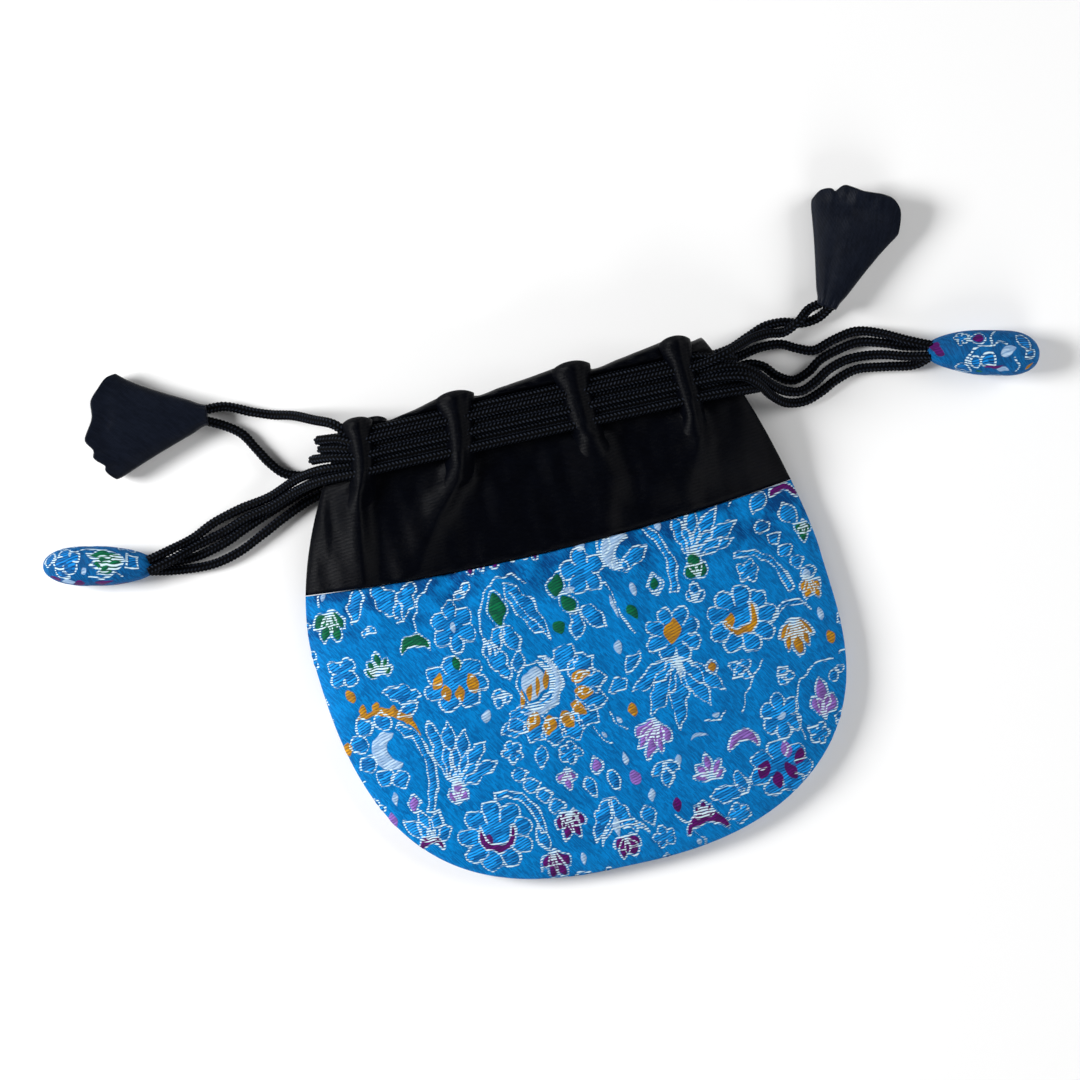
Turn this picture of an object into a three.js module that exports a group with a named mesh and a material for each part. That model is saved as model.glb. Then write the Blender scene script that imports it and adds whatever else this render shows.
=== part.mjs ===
// Drawstring pouch of figured brocade with a black satin top band, lying on its back.
// Millimetres, +Z up, +Y towards the mouth, z = 0 the table under it.
import * as THREE from "three";

// Driving dimensions of the bag -------------------------------------------------------------

const BODY_HALF_WIDTH = 57.4; // widest half width of the brocade body
const BODY_CENTRE_Y = -2; // where the round bottom begins
const BODY_DEPTH = 53.8; // from there down to the lowest point
const BOTTOM_ROUNDNESS = 2.6; // superellipse exponent of the bottom
const WIDEST_Y = 4; // above this the sides draw in
const MOUTH_Y = 52; // height of the mouth line
const MOUTH_HALF_WIDTH = 41.5; // half width gathered by the cords
const TAPER_POWER = 1.7;
const LEAN = 1.5; // the body hangs a little askew under its mouth
const LEAN_CENTRE_Y = -8;
const LEAN_HALF_WAVE = 52;

const SEAM_Y = 16; // satin to brocade seam at the middle
const SEAM_SLOPE = 0.021;
const SEAM_BOW = 0.00098;
const BAND_TOP_Y = 53.2;
const SEAM_GAP = 0.3; // clearance between pieces that are sewn together

const CLOTH = 0.9; // brocade or folded satin with its backing
const RIM_Z = 3.4; // side and bottom seam above the table
const MOUTH_RIM_Z = 8.05;
const BODY_CEILING_Z = 11.3; // inside of the front panel at its crown
const MOUTH_CEILING_Z = 10.6; // inside of the front band at the mouth
const MOUTH_FLOOR_Z = 4.6; // underside of the back band at the mouth
const LIFT_START_Y = 14; // the back leaves the table here
const LIFT_END_Y = 40.5;

// Driving dimensions of the cords and their ornaments -----------------------------------------

const CORD_DIAMETER = 2.0;
const CORD_SIDES = 8;
const CORD_STEP = 5; // one straight facet of the tube
const ROW_TOP_Y = 50.3; // first of six rows of cord across the mouth
const ROW_PITCH = 1.7;
const FRONT_INNER_Z = 12.8;
const BACK_INNER_Z = 3.3;
const LEVEL_STEP = 1.3; // neighbouring rows lie on two levels
const CHANNEL_HALF = 38.5;
const TURN_REACH = 3; // how far a cord stands off the side seam as it turns

const CARRIER_BOTTOM_Y = 39.2;
const CARRIER_TOP_Y = 55.8;
const CARRIER_HEIGHT = 4.4;
const CARRIER_THICKNESS = 0.6;
const CARRIER_CORNER = 2.4;
const FRONT_CARRIER_BASE_Z = 11.8; // just above the front band
const BACK_CARRIER_BASE_Z = 4.3; // just below the back band
const FRONT_CARRIERS = [[-37.4, 5.8], [-15.6, 6.8], [11.2, 7], [34.8, 5.6]]; // centre, width
const BACK_CARRIERS = [[-34.8, 5.6], [-11.2, 7], [15.6, 6.8], [37.4, 5.8]];

const TRUMPET_NECK_RADIUS = 2.5;
const TRUMPET_DISH = 3; // depth of the hollow in the flared end
const POD_ROUNDNESS = 2.6;
const TABLE_CLEARANCE = 0.05;

// Finishes ------------------------------------------------------------------------------------

const brocade = { color: 0x1b7fc4, roughness: 0.55, metalness: 0 };
const satin = { color: 0x07080e, roughness: 0.42, metalness: 0 };
const braid = { color: 0x060609, roughness: 0.7, metalness: 0 };

const pouch = new THREE.Group();

function addPiece(name, geometry, finish) {
  const mesh = new THREE.Mesh(geometry, new THREE.MeshStandardMaterial(finish));
  mesh.name = name;
  pouch.add(mesh);
  return mesh;
}

// Form of the bag -----------------------------------------------------------------------------

const mix = THREE.MathUtils.lerp;
const ramp = THREE.MathUtils.smoothstep;

function halfWidth(y) {
  if (y < BODY_CENTRE_Y) {
    const fall = Math.min((BODY_CENTRE_Y - y) / BODY_DEPTH, 1);
    return BODY_HALF_WIDTH * (1 - fall ** BOTTOM_ROUNDNESS) ** (1 / BOTTOM_ROUNDNESS);
  }
  const climb = Math.max(y - WIDEST_Y, 0) / (MOUTH_Y - WIDEST_Y);
  return BODY_HALF_WIDTH - (BODY_HALF_WIDTH - MOUTH_HALF_WIDTH) * climb ** TAPER_POWER;
}

function lean(y) {
  return -LEAN * Math.sin((Math.PI * (y - LEAN_CENTRE_Y)) / LEAN_HALF_WAVE);
}

function seamY(x) {
  return SEAM_Y + SEAM_SLOPE * x + SEAM_BOW * x * x;
}

// 0 at the middle of the bag, 1 at its sewn rim.
function rimRadius(across, y) {
  if (y >= BODY_CENTRE_Y) return Math.abs(across);
  const x = Math.abs(across) * halfWidth(y) / BODY_HALF_WIDTH;
  const fall = (BODY_CENTRE_Y - y) / BODY_DEPTH;
  return Math.min((x ** BOTTOM_ROUNDNESS + fall ** BOTTOM_ROUNDNESS) ** (1 / BOTTOM_ROUNDNESS), 1);
}

function mouthShare(y) {
  return ramp(y, LIFT_START_Y, LIFT_END_Y);
}

function rimZ(y) {
  return mix(RIM_Z, MOUTH_RIM_Z, mouthShare(y));
}

function plateau(across) {
  return 1 - Math.abs(across) ** 8;
}

function frontInnerZ(across, y) {
  const share = mouthShare(y);
  const seat = rimZ(y) + SEAM_GAP / 2;
  const ceiling = mix(BODY_CEILING_Z, MOUTH_CEILING_Z, share);
  const pillow = (1 - rimRadius(across, y) ** 2.2) ** 0.8;
  return seat + (ceiling - seat) * mix(pillow, plateau(across), share);
}

function backOuterZ(across, y) {
  const share = mouthShare(y);
  const seat = rimZ(y) - SEAM_GAP / 2 - CLOTH;
  const pan = 1 - ramp(rimRadius(across, y), 0.6, 1);
  return seat - (seat - mix(0, MOUTH_FLOOR_Z, share)) * mix(pan, plateau(across), share);
}

// A sheet of cloth: a box whose grid is laid over the bag.
// place(across, along) gives x, y and the height of the sheet's lower face.
function clothSheet(columns, rows, place) {
  const geometry = new THREE.BoxGeometry(2, 1, 1, columns, rows, 1);
  const grid = geometry.attributes.position;
  for (let i = 0; i < grid.count; i += 1) {
    const [x, y, z] = place(grid.getX(i), grid.getY(i) + 0.5);
    grid.setXYZ(i, x, y, z + (grid.getZ(i) + 0.5) * CLOTH);
  }
  return geometry;
}

function overBag(across, y, height) {
  return [lean(y) + across * halfWidth(y), y, height(across, y)];
}

const LOWEST_ROW_FALL = 0.985;

// The brocade's rows crowd towards the round bottom, and the lowest one follows its curve.
function onBody(height) {
  const lowest = Math.asin(LOWEST_ROW_FALL);
  return (across, along) => {
    const fall = along < 0.6 ? Math.sin(lowest * (1 - along / 0.6)) : 0;
    const rise = Math.max(along - 0.6, 0) / 0.4;
    const top = seamY(across * halfWidth(SEAM_Y)) - SEAM_GAP / 2;
    const y = mix(BODY_CENTRE_Y - BODY_DEPTH * fall, top, rise);
    if (along > 0) return overBag(across, y, height);
    const x = across * halfWidth(y);
    const inset = (Math.abs(x) / BODY_HALF_WIDTH) ** BOTTOM_ROUNDNESS;
    const edgeY = BODY_CENTRE_Y - BODY_DEPTH * (1 - inset) ** (1 / BOTTOM_ROUNDNESS);
    return [lean(y) + x, edgeY, height(across, edgeY)];
  };
}

function onBand(height) {
  return (across, along) => {
    const bottom = seamY(across * halfWidth(SEAM_Y)) + SEAM_GAP / 2;
    return overBag(across, mix(bottom, BAND_TOP_Y, along), height);
  };
}

addPiece("back_brocade_panel", clothSheet(20, 16, onBody(backOuterZ)), brocade);
addPiece("front_brocade_panel", clothSheet(20, 16, onBody(frontInnerZ)), brocade);
addPiece("back_satin_band", clothSheet(20, 8, onBand(backOuterZ)), satin);
addPiece("front_satin_band", clothSheet(20, 8, onBand(frontInnerZ)), satin);

// Carriers: satin loops that bridge the cords and are sewn to the band above and below them ------

function archOutline(inset) {
  const low = CARRIER_BOTTOM_Y + inset;
  const high = CARRIER_TOP_Y - inset;
  const top = CARRIER_HEIGHT - inset;
  const corner = CARRIER_CORNER - inset;
  const arch = new THREE.Path();
  arch.moveTo(low, 0);
  arch.lineTo(low, top - corner);
  arch.absarc(low + corner, top - corner, corner, Math.PI, Math.PI / 2, true);
  arch.lineTo(high - corner, top);
  arch.absarc(high - corner, top - corner, corner, Math.PI / 2, 0, true);
  arch.lineTo(high, 0);
  return arch.getPoints(2);
}

function carrierGeometry(width) {
  const outline = [...archOutline(0), ...archOutline(CARRIER_THICKNESS).reverse()];
  const strip = new THREE.ExtrudeGeometry(new THREE.Shape(outline), { depth: width, bevelEnabled: false });
  strip.translate(0, 0, -width / 2);
  // Outline x becomes y, outline y becomes z, and the width runs along x.
  const turn = new THREE.Matrix4().makeBasis(
    new THREE.Vector3(0, 1, 0),
    new THREE.Vector3(0, 0, 1),
    new THREE.Vector3(1, 0, 0),
  );
  return strip.applyMatrix4(turn);
}

FRONT_CARRIERS.forEach(([x, width], i) => {
  const carrier = addPiece(`front_carrier_${i + 1}`, carrierGeometry(width), satin);
  carrier.position.set(x, 0, FRONT_CARRIER_BASE_Z);
});

BACK_CARRIERS.forEach(([x, width], i) => {
  const carrier = addPiece(`back_carrier_${i + 1}`, carrierGeometry(width), satin);
  carrier.rotation.y = Math.PI;
  carrier.position.set(x, 0, BACK_CARRIER_BASE_Z + 0.1);
});

// Cords: each is one loop from its ornament through the front channel, round the far side seam,
// back through the rear channel and to the ornament again ------------------------------------

function rowY(row) {
  return ROW_TOP_Y - ROW_PITCH * row;
}

function frontRowZ(row) {
  return FRONT_INNER_Z + (row % 2) * LEVEL_STEP;
}

function backRowZ(row) {
  return BACK_INNER_Z - ((row + 1) % 2) * LEVEL_STEP;
}

// Where along the channel the route has its points, as shares of the channel's half length.
const CHANNEL_STOPS = [1, 0.85, 0.3, -0.3, -0.85, -1];

// The stretch inside the channels, from the near side to the far one and back.
function channelRun(nearSide, frontRow, backRow, turnY) {
  const far = -nearSide;
  const front = [rowY(frontRow), frontRowZ(frontRow)];
  const back = [rowY(backRow), backRowZ(backRow)];
  const outerLevels = (frontRow % 2) + ((backRow + 1) % 2);
  const shoulder = far * (halfWidth(turnY) - 0.6);
  const outermost = far * (halfWidth(turnY) + TURN_REACH + (outerLevels * LEVEL_STEP) / 2);
  return [
    ...CHANNEL_STOPS.map((stop) => [nearSide * CHANNEL_HALF * stop, ...front]),
    [shoulder, mix(front[0], turnY, 0.6), front[1] - 1.3],
    [outermost, turnY, MOUTH_RIM_Z],
    [shoulder, mix(back[0], turnY, 0.6), back[1] + 1.3],
    ...CHANNEL_STOPS.map((stop) => [far * CHANNEL_HALF * stop, ...back]),
  ];
}

const LEFT = -1;
const RIGHT = 1;

// Each free strand is listed from the ornament to the channel.
const cordLoops = [
  {
    name: "left_trumpet_cord",
    out: [[-70.3, 63.2, 2.2], [-65.5, 63, 1.3], [-60.1, 60.6, 1.1], [-55.6, 58.9, 1.9],
      [-51, 57.6, 4.4], [-46.4, 55.4, 8.6], [-42.4, 53.5, 12.2]],
    run: channelRun(LEFT, 0, 3, 48.5),
    back: [[-70.5, 60.9, 2.2], [-66.6, 58.9, 1.2], [-63.2, 56.3, 1.1], [-60.8, 52.4, 1.1],
      [-58.4, 48.4, 1.1], [-55.8, 45.6, 1.1], [-51.5, 44.2, 1.2], [-46.5, 44.3, 2]],
  },
  {
    name: "left_pod_cord_1",
    out: [[-89.2, 33.2, 4.8], [-83.6, 34.6, 3.3], [-78.6, 36, 1.6], [-73.6, 38.3, 1.1],
      [-67.3, 40, 1.3], [-60, 41.2, 2.6], [-53, 43.6, 6.2], [-47, 44.3, 11]],
    run: channelRun(LEFT, 4, 4, 43.5),
    back: [[-89.2, 33.2, 2.4], [-84.8, 32, 1.4], [-79.2, 31.8, 1.1], [-72.1, 33.4, 1.1],
      [-66.4, 35.8, 1.1], [-59.4, 38.4, 1.1], [-52.4, 40.8, 1.1], [-46.5, 42.1, 1.2]],
  },
  {
    name: "left_pod_cord_2",
    out: [[-89.7, 30.9, 4.8], [-83.8, 32.3, 4.1], [-78.6, 34.1, 2.1], [-71.6, 35.9, 1.3],
      [-66, 37.8, 2.2], [-60.4, 38.9, 3.6], [-53.4, 41.2, 6.4], [-47.4, 42, 11]],
    run: channelRun(LEFT, 5, 5, 41.2),
    back: [[-89.7, 30.9, 2.4], [-83.6, 29.8, 1.3], [-75.6, 29.4, 1.1], [-69.4, 30.8, 1.1],
      [-63.4, 33.5, 1.1], [-58.6, 35.8, 1.1], [-52.4, 38.4, 1.1], [-46.6, 39.9, 1.5]],
  },
  {
    name: "right_trumpet_cord",
    out: [[69, 56.8, 2.2], [65.8, 56, 2], [62.6, 53.7, 3.4], [59, 52.2, 2.4],
      [55.6, 52.6, 3.4], [52, 52.3, 5.6], [48.4, 51.2, 10.2], [44.2, 49.7, 14.4]],
    run: channelRun(RIGHT, 1, 0, 50.8),
    back: [[70.9, 55.7, 2.2], [67.2, 53.7, 1.3], [63.4, 53.4, 1.1], [59.4, 54.5, 1.1],
      [55.4, 54.4, 1.1], [51.2, 52.9, 1.1], [46.5, 51.2, 1.4]],
  },
  {
    name: "right_pod_cord_1",
    out: [[89.8, 39.9, 4.7], [84.8, 41, 3.2], [78.4, 42.9, 1.4], [72, 43.3, 1.3],
      [67, 41.9, 2.4], [63.4, 39.8, 3.3], [60, 38.6, 3.5], [56.4, 39.4, 4.2],
      [53.4, 41.6, 6.4], [50.8, 44, 10.2], [47.4, 46.2, 12.6], [43.2, 47, 13.4]],
    run: channelRun(RIGHT, 2, 1, 48.8),
    back: [[90.4, 42.1, 4.7], [85.4, 44.4, 4.2], [80, 47.4, 1.8], [74.9, 49, 1.1],
      [69.6, 48.2, 1.1], [64.8, 46.9, 1.1], [61.2, 48.2, 1.1], [58, 49.8, 1.1],
      [53.4, 50.1, 1.1], [48, 49.1, 1.6]],
  },
  {
    name: "right_pod_cord_2",
    out: [[89.8, 39.9, 2.4], [86.2, 38.9, 1.3], [79.7, 39.9, 1.1], [73.2, 40.7, 1.1],
      [68.4, 39.4, 1.1], [64.4, 37.5, 1.1], [60.4, 36.3, 1.1], [56.4, 36.8, 2.4],
      [53, 39.2, 5.8], [50.6, 41.9, 11.3], [47.8, 44, 14.4], [43.4, 45, 14.5]],
    run: channelRun(RIGHT, 3, 2, 46.9),
    back: [[90.4, 42.1, 2.4], [85.2, 43.3, 1.9], [80, 45.2, 1.6], [75, 46.5, 1.1],
      [70, 45.8, 1.1], [65.8, 44.5, 1.1], [62.6, 42.4, 1.1], [59, 41.4, 1.1],
      [55.8, 43, 1.1], [53.2, 45.8, 1.1], [50.4, 47, 1.1], [46.5, 46.8, 1.4]],
  },
];

function cordSection() {
  const ring = [];
  for (let i = 0; i < CORD_SIDES; i += 1) {
    const turn = (2 * Math.PI * i) / CORD_SIDES;
    ring.push(new THREE.Vector2(Math.cos(turn), Math.sin(turn)).multiplyScalar(CORD_DIAMETER / 2));
  }
  return new THREE.Shape(ring);
}

for (const loop of cordLoops) {
  const route = [...loop.out, ...loop.run, ...[...loop.back].reverse()];
  const curve = new THREE.CatmullRomCurve3(route.map((point) => new THREE.Vector3(...point)));
  const steps = Math.ceil(curve.getLength() / CORD_STEP);
  const tube = new THREE.ExtrudeGeometry(cordSection(), { steps, extrudePath: curve });
  addPiece(loop.name, tube, braid);
}

// Ornaments -----------------------------------------------------------------------------------

// Turns a profile given from neck to tip, then presses it flat so that it lies on the table.
function restingOrnament(profile, outerRadius, halfHeight, segments) {
  const solid = new THREE.LatheGeometry(profile, segments);
  const grid = solid.attributes.position;
  for (let i = 0; i < grid.count; i += 1) {
    const along = grid.getY(i);
    const press = halfHeight(along) / outerRadius(along);
    grid.setZ(i, grid.getZ(i) * press + halfHeight(along) + TABLE_CLEARANCE);
  }
  return solid;
}

function trumpetGeometry(length, flareWidth) {
  const radius = (y) => mix(TRUMPET_NECK_RADIUS, flareWidth / 2, (y / length) ** 1.2);
  const halfHeight = (y) => mix(2.1, 3.8, y / length);
  const profile = [new THREE.Vector2(0, 0)];
  for (let i = 0; i <= 7; i += 1) {
    const y = (length * i) / 7;
    profile.push(new THREE.Vector2(radius(y), y));
  }
  profile.push(new THREE.Vector2(radius(length) * 0.6, length - TRUMPET_DISH / 2));
  profile.push(new THREE.Vector2(0, length - TRUMPET_DISH));
  return restingOrnament(profile, radius, halfHeight, 16);
}

function podGeometry(length, width, height) {
  const swell = (y) => {
    const along = mix(-0.82, 1, y / length);
    return Math.max(1 - Math.abs(along) ** POD_ROUNDNESS, 0) ** (1 / POD_ROUNDNESS);
  };
  const radius = (y) => (width / 2) * Math.max(swell(y), 0.2);
  const halfHeight = (y) => (height / 2) * Math.max(swell(y), 0.2);
  const profile = [new THREE.Vector2(0, 0)];
  for (let i = 0; i < 9; i += 1) {
    const y = length * Math.sin((Math.PI / 2) * (i / 9));
    profile.push(new THREE.Vector2(radius(y), y));
  }
  profile.push(new THREE.Vector2(0, length));
  const solid = restingOrnament(profile, radius, halfHeight, 12);
  // The stuffed pod keeps its middle line level, so its ends stand clear of the table.
  const grid = solid.attributes.position;
  for (let i = 0; i < grid.count; i += 1) {
    grid.setZ(i, grid.getZ(i) + height / 2 - halfHeight(grid.getY(i)));
  }
  return solid;
}

function placeOrnament(name, geometry, finish, neckX, neckY, heading) {
  const ornament = addPiece(name, geometry, finish);
  ornament.position.set(neckX, neckY, 0);
  ornament.rotation.z = THREE.MathUtils.degToRad(heading - 90);
}

placeOrnament("left_trumpet", trumpetGeometry(25.2, 25), satin, -71.1, 62.1, 175);
placeOrnament("right_trumpet", trumpetGeometry(25.2, 22.2), satin, 70.3, 56.9, 60);
placeOrnament("left_pod", podGeometry(22.7, 8.8, 7), brocade, -90.1, 32.2, 167.5);
placeOrnament("right_pod", podGeometry(23.1, 10.1, 8), brocade, 90.8, 40.8, -14.3);

export default pouch;
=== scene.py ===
"""Drawstring pouch of figured brocade with a gathered black satin top.

The bag lies on its back. Lengths are worked out in millimetres, as the cut pieces of cloth
are, and become metres when a mesh is made. +Y points to the mouth and +Z up.
"""

import logging
import math
from collections.abc import Sequence
from dataclasses import dataclass, field
from enum import Enum

import bpy
import numpy as np
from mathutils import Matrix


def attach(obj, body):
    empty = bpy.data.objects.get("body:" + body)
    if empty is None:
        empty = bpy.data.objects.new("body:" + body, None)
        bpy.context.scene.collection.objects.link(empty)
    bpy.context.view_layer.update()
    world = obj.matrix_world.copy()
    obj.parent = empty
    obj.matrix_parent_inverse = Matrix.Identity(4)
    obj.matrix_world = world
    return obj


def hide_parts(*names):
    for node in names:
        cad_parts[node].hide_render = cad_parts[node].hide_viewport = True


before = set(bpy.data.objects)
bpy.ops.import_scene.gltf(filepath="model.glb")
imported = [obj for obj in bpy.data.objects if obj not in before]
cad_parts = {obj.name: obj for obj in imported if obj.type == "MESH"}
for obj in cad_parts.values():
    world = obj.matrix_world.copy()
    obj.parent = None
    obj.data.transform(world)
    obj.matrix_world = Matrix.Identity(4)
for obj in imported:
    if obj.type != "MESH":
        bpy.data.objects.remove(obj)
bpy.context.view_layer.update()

log = logging.getLogger("pouch")

MM = 0.001
SEED = 11
BACK_CUT_ACROSS = 9.0  # how far the back panel is cut off the front's place on the cloth
BACK_CUT_DOWN = 4.0
FRONT_CREST_Z = 15.9  # the top of the strips over the cords, and of those on the table
BACK_CREST_Z = 0.62
BACK_TOP_DROP = 3.4  # how far the back band and its strips end below the front ones
BACK_STRIP_DROP = 2.4
ROOT = "root"

Point = tuple[float, float]
Route = list[tuple[float, float, float]]
Array = np.ndarray


# Arithmetic that several pieces share -----------------------------------------------------------


def mix(a: Array | float, b: Array | float, share: Array | float) -> Array | float:
    """Returns the value at a share of the way from a to b."""
    return a + (b - a) * share


def ramp(value: Array | float, low: float, high: float) -> Array:
    """Returns 0 below low and 1 above high, with a smooth rise between them."""
    share = np.clip((value - low) / (high - low), 0.0, 1.0)
    return share * share * (3.0 - 2.0 * share)


def ripple(x: Array, y: Array, pitch: float, seed: int, waves: int = 5) -> Array:
    """Makes soft irregular waves in cloth.

    Args:
        x: Across positions in mm.
        y: Along positions in mm.
        pitch: Typical distance between crests in mm.
        seed: Chooses one set of waves.
        waves: How many plane waves are added.

    Returns:
        Heights of about -1 to 1.
    """
    rng = np.random.default_rng(SEED * 100 + seed)
    total = np.zeros_like(x, dtype=float)
    for _ in range(waves):
        heading = rng.uniform(0, 2 * math.pi)
        length = pitch * rng.uniform(0.7, 1.6)
        phase = rng.uniform(0, 2 * math.pi)
        total += np.sin((x * math.cos(heading) + y * math.sin(heading)) * 2 * math.pi / length + phase)
    return total / math.sqrt(waves * 2)


def smooth_route(points: Sequence[Sequence[float]], spacing: float) -> Array:
    """Threads a centripetal Catmull-Rom curve through points and spaces it evenly.

    Args:
        points: The points that the curve passes, two or three numbers each.
        spacing: Distance between the returned points.

    Returns:
        Points along the curve.
    """
    knots = np.asarray(points, dtype=float)
    knots = np.vstack([2 * knots[0] - knots[1], knots, 2 * knots[-1] - knots[-2]])
    parts = []
    for i in range(len(knots) - 3):
        p0, p1, p2, p3 = knots[i : i + 4]
        t1 = max(np.linalg.norm(p1 - p0), 1e-6) ** 0.5
        t2 = t1 + max(np.linalg.norm(p2 - p1), 1e-6) ** 0.5
        t3 = t2 + max(np.linalg.norm(p3 - p2), 1e-6) ** 0.5
        t = np.linspace(t1, t2, 24, endpoint=False)[:, None]
        a1 = (t1 - t) / t1 * p0 + t / t1 * p1
        a2 = (t2 - t) / (t2 - t1) * p1 + (t - t1) / (t2 - t1) * p2
        a3 = (t3 - t) / (t3 - t2) * p2 + (t - t2) / (t3 - t2) * p3
        b1 = (t2 - t) / t2 * a1 + t / t2 * a2
        b2 = (t3 - t) / (t3 - t1) * a2 + (t - t1) / (t3 - t1) * a3
        parts.append((t2 - t) / (t2 - t1) * b1 + (t - t1) / (t2 - t1) * b2)
    dense = np.vstack([*parts, knots[-2]])
    gone = np.concatenate([[0.0], np.cumsum(np.linalg.norm(np.diff(dense, axis=0), axis=1))])
    steps = max(int(round(gone[-1] / spacing)), 2)
    even = np.linspace(0.0, gone[-1], steps + 1)
    return np.column_stack([np.interp(even, gone, dense[:, k]) for k in range(dense.shape[1])])


# The form of the bag ------------------------------------------------------------------------------


@dataclass(frozen=True)
class BagForm:
    """The bag's cut and its height above the table, in mm."""

    body_half_width: float = 57.4
    body_centre_y: float = -2.0
    body_depth: float = 53.8
    bottom_roundness: float = 2.6
    widest_y: float = 4.0
    mouth_y: float = 52.0
    mouth_half_width: float = 41.5
    taper_power: float = 1.7
    lean_reach: float = 1.5
    lean_centre_y: float = -8.0
    lean_half_wave: float = 52.0
    seam_middle_y: float = 16.0
    seam_slope: float = 0.021
    seam_bow: float = 0.00098
    cloth: float = 0.9
    rim_z: float = 3.4
    mouth_rim_z: float = 8.05
    body_ceiling_z: float = 11.3
    mouth_ceiling_z: float = 10.6
    mouth_floor_z: float = 4.6
    lift_start_y: float = 14.0
    lift_end_y: float = 40.5

    def half_width(self, y: Array) -> Array:
        """Returns the bag's half width at y.

        Args:
            y: Along positions in mm.

        Returns:
            Half widths in mm.
        """
        fall = np.clip((self.body_centre_y - y) / self.body_depth, 0.0, 1.0)
        bottom = (1 - fall**self.bottom_roundness) ** (1 / self.bottom_roundness)
        climb = np.maximum(y - self.widest_y, 0.0) / (self.mouth_y - self.widest_y)
        drawn_in = (self.body_half_width - self.mouth_half_width) * climb**self.taper_power
        return self.body_half_width * bottom - drawn_in

    def lean(self, y: Array) -> Array:
        """Returns how far the bag's middle line stands to the right at y."""
        return -self.lean_reach * np.sin(math.pi * (y - self.lean_centre_y) / self.lean_half_wave)

    def seam_y(self, x: Array) -> Array:
        """Returns the y of the seam between brocade and satin at x."""
        return self.seam_middle_y + self.seam_slope * x + self.seam_bow * x * x

    def rim_radius(self, across: Array, y: Array) -> Array:
        """Returns 0 at the bag's middle and 1 at its sewn rim.

        Args:
            across: Places from -1 at the left rim to 1 at the right.
            y: Along positions in mm.

        Returns:
            Shares from 0 to 1.
        """
        power = self.bottom_roundness
        fall = np.maximum(self.body_centre_y - y, 0.0) / self.body_depth
        x = np.abs(across) * self.half_width(y) / self.body_half_width
        round_part = (x**power + fall**power) ** (1 / power)
        return np.minimum(np.where(y < self.body_centre_y, round_part, np.abs(across)), 1.0)

    def mouth_share(self, y: Array) -> Array:
        """Returns 0 on the body and 1 at the mouth."""
        return ramp(y, self.lift_start_y, self.lift_end_y)

    def rim_height(self, y: Array) -> Array:
        """Returns the height of the side and bottom seam at y."""
        return mix(self.rim_z, self.mouth_rim_z, self.mouth_share(y))

    def front_z(self, across: Array, y: Array) -> Array:
        """Returns the height of the inside of the bag's front.

        Args:
            across: Places from -1 at the left rim to 1 at the right.
            y: Along positions in mm.

        Returns:
            Heights in mm.
        """
        share = self.mouth_share(y)
        seat = self.rim_height(y)
        ceiling = mix(self.body_ceiling_z, self.mouth_ceiling_z, share)
        pillow = (1 - self.rim_radius(across, y) ** 2.2) ** 0.8
        return seat + (ceiling - seat) * mix(pillow, 1 - np.abs(across) ** 8, share)

    def back_z(self, across: Array, y: Array) -> Array:
        """Returns the height of the underside of the bag's back.

        Args:
            across: Places from -1 at the left rim to 1 at the right.
            y: Along positions in mm.

        Returns:
            Heights in mm.
        """
        share = self.mouth_share(y)
        seat = self.rim_height(y) - self.cloth
        pan = 1 - ramp(self.rim_radius(across, y), 0.6, 1.0)
        floor = mix(0.0, self.mouth_floor_z, share)
        return seat - (seat - floor) * mix(pan, 1 - np.abs(across) ** 8, share)


# The figured pattern of the brocade ----------------------------------------------------------------


class Layer(Enum):
    """What a mark in the weave is made of."""

    OUTLINE = "outline_mm"
    FLOAT = "float_mm"
    ACCENT = "accent_mm"
    PALE = "pale_mm"


class Tone(Enum):
    """Thread colours of the accents, linear."""

    GREEN = (0.004, 0.150, 0.055)
    GOLD = (0.580, 0.270, 0.010)
    LILAC = (0.330, 0.165, 0.620)
    PURPLE = (0.120, 0.004, 0.150)


@dataclass(frozen=True)
class Mark:
    """One shape in the weave."""

    layer: Layer
    path: Array
    closed: bool = True
    inset: float = 0.0
    tone: Tone = Tone.GOLD


def turned(path: Array, heading: float, centre: Point) -> Array:
    """Turns a path drawn along +X to a heading in degrees and moves it to a centre.

    Args:
        path: The path.
        heading: The heading in degrees.
        centre: Where (0, 0) goes.

    Returns:
        The path in its new place.
    """
    a = math.radians(heading)
    across = np.array([[math.cos(a), math.sin(a)], [-math.sin(a), math.cos(a)]])
    return path @ across + np.asarray(centre)


def petal_path(length: float, width: float, belly: float = 0.85, notches: int = 0) -> Array:
    """Draws a petal from (0, 0) along +X, pointed at both ends, with notched edges if wanted.

    Args:
        length: From end to end in mm.
        width: At its widest in mm.
        belly: Below 1 puts the widest place nearer (0, 0), above 1 nearer the tip.
        notches: How many notches its edges have.

    Returns:
        The petal's outline.
    """
    t = np.linspace(0.0, 1.0, 15 + 8 * notches)
    half = width / 2 * np.sin(math.pi * t**belly) ** 0.85
    if notches:
        half *= 0.74 + 0.34 * np.abs(np.sin(math.pi * (notches * t + 0.2)))
    upper = np.column_stack([t * length, half])
    lower = np.column_stack([t * length, -half])[::-1]
    return np.vstack([upper, lower[1:-1]])


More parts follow.
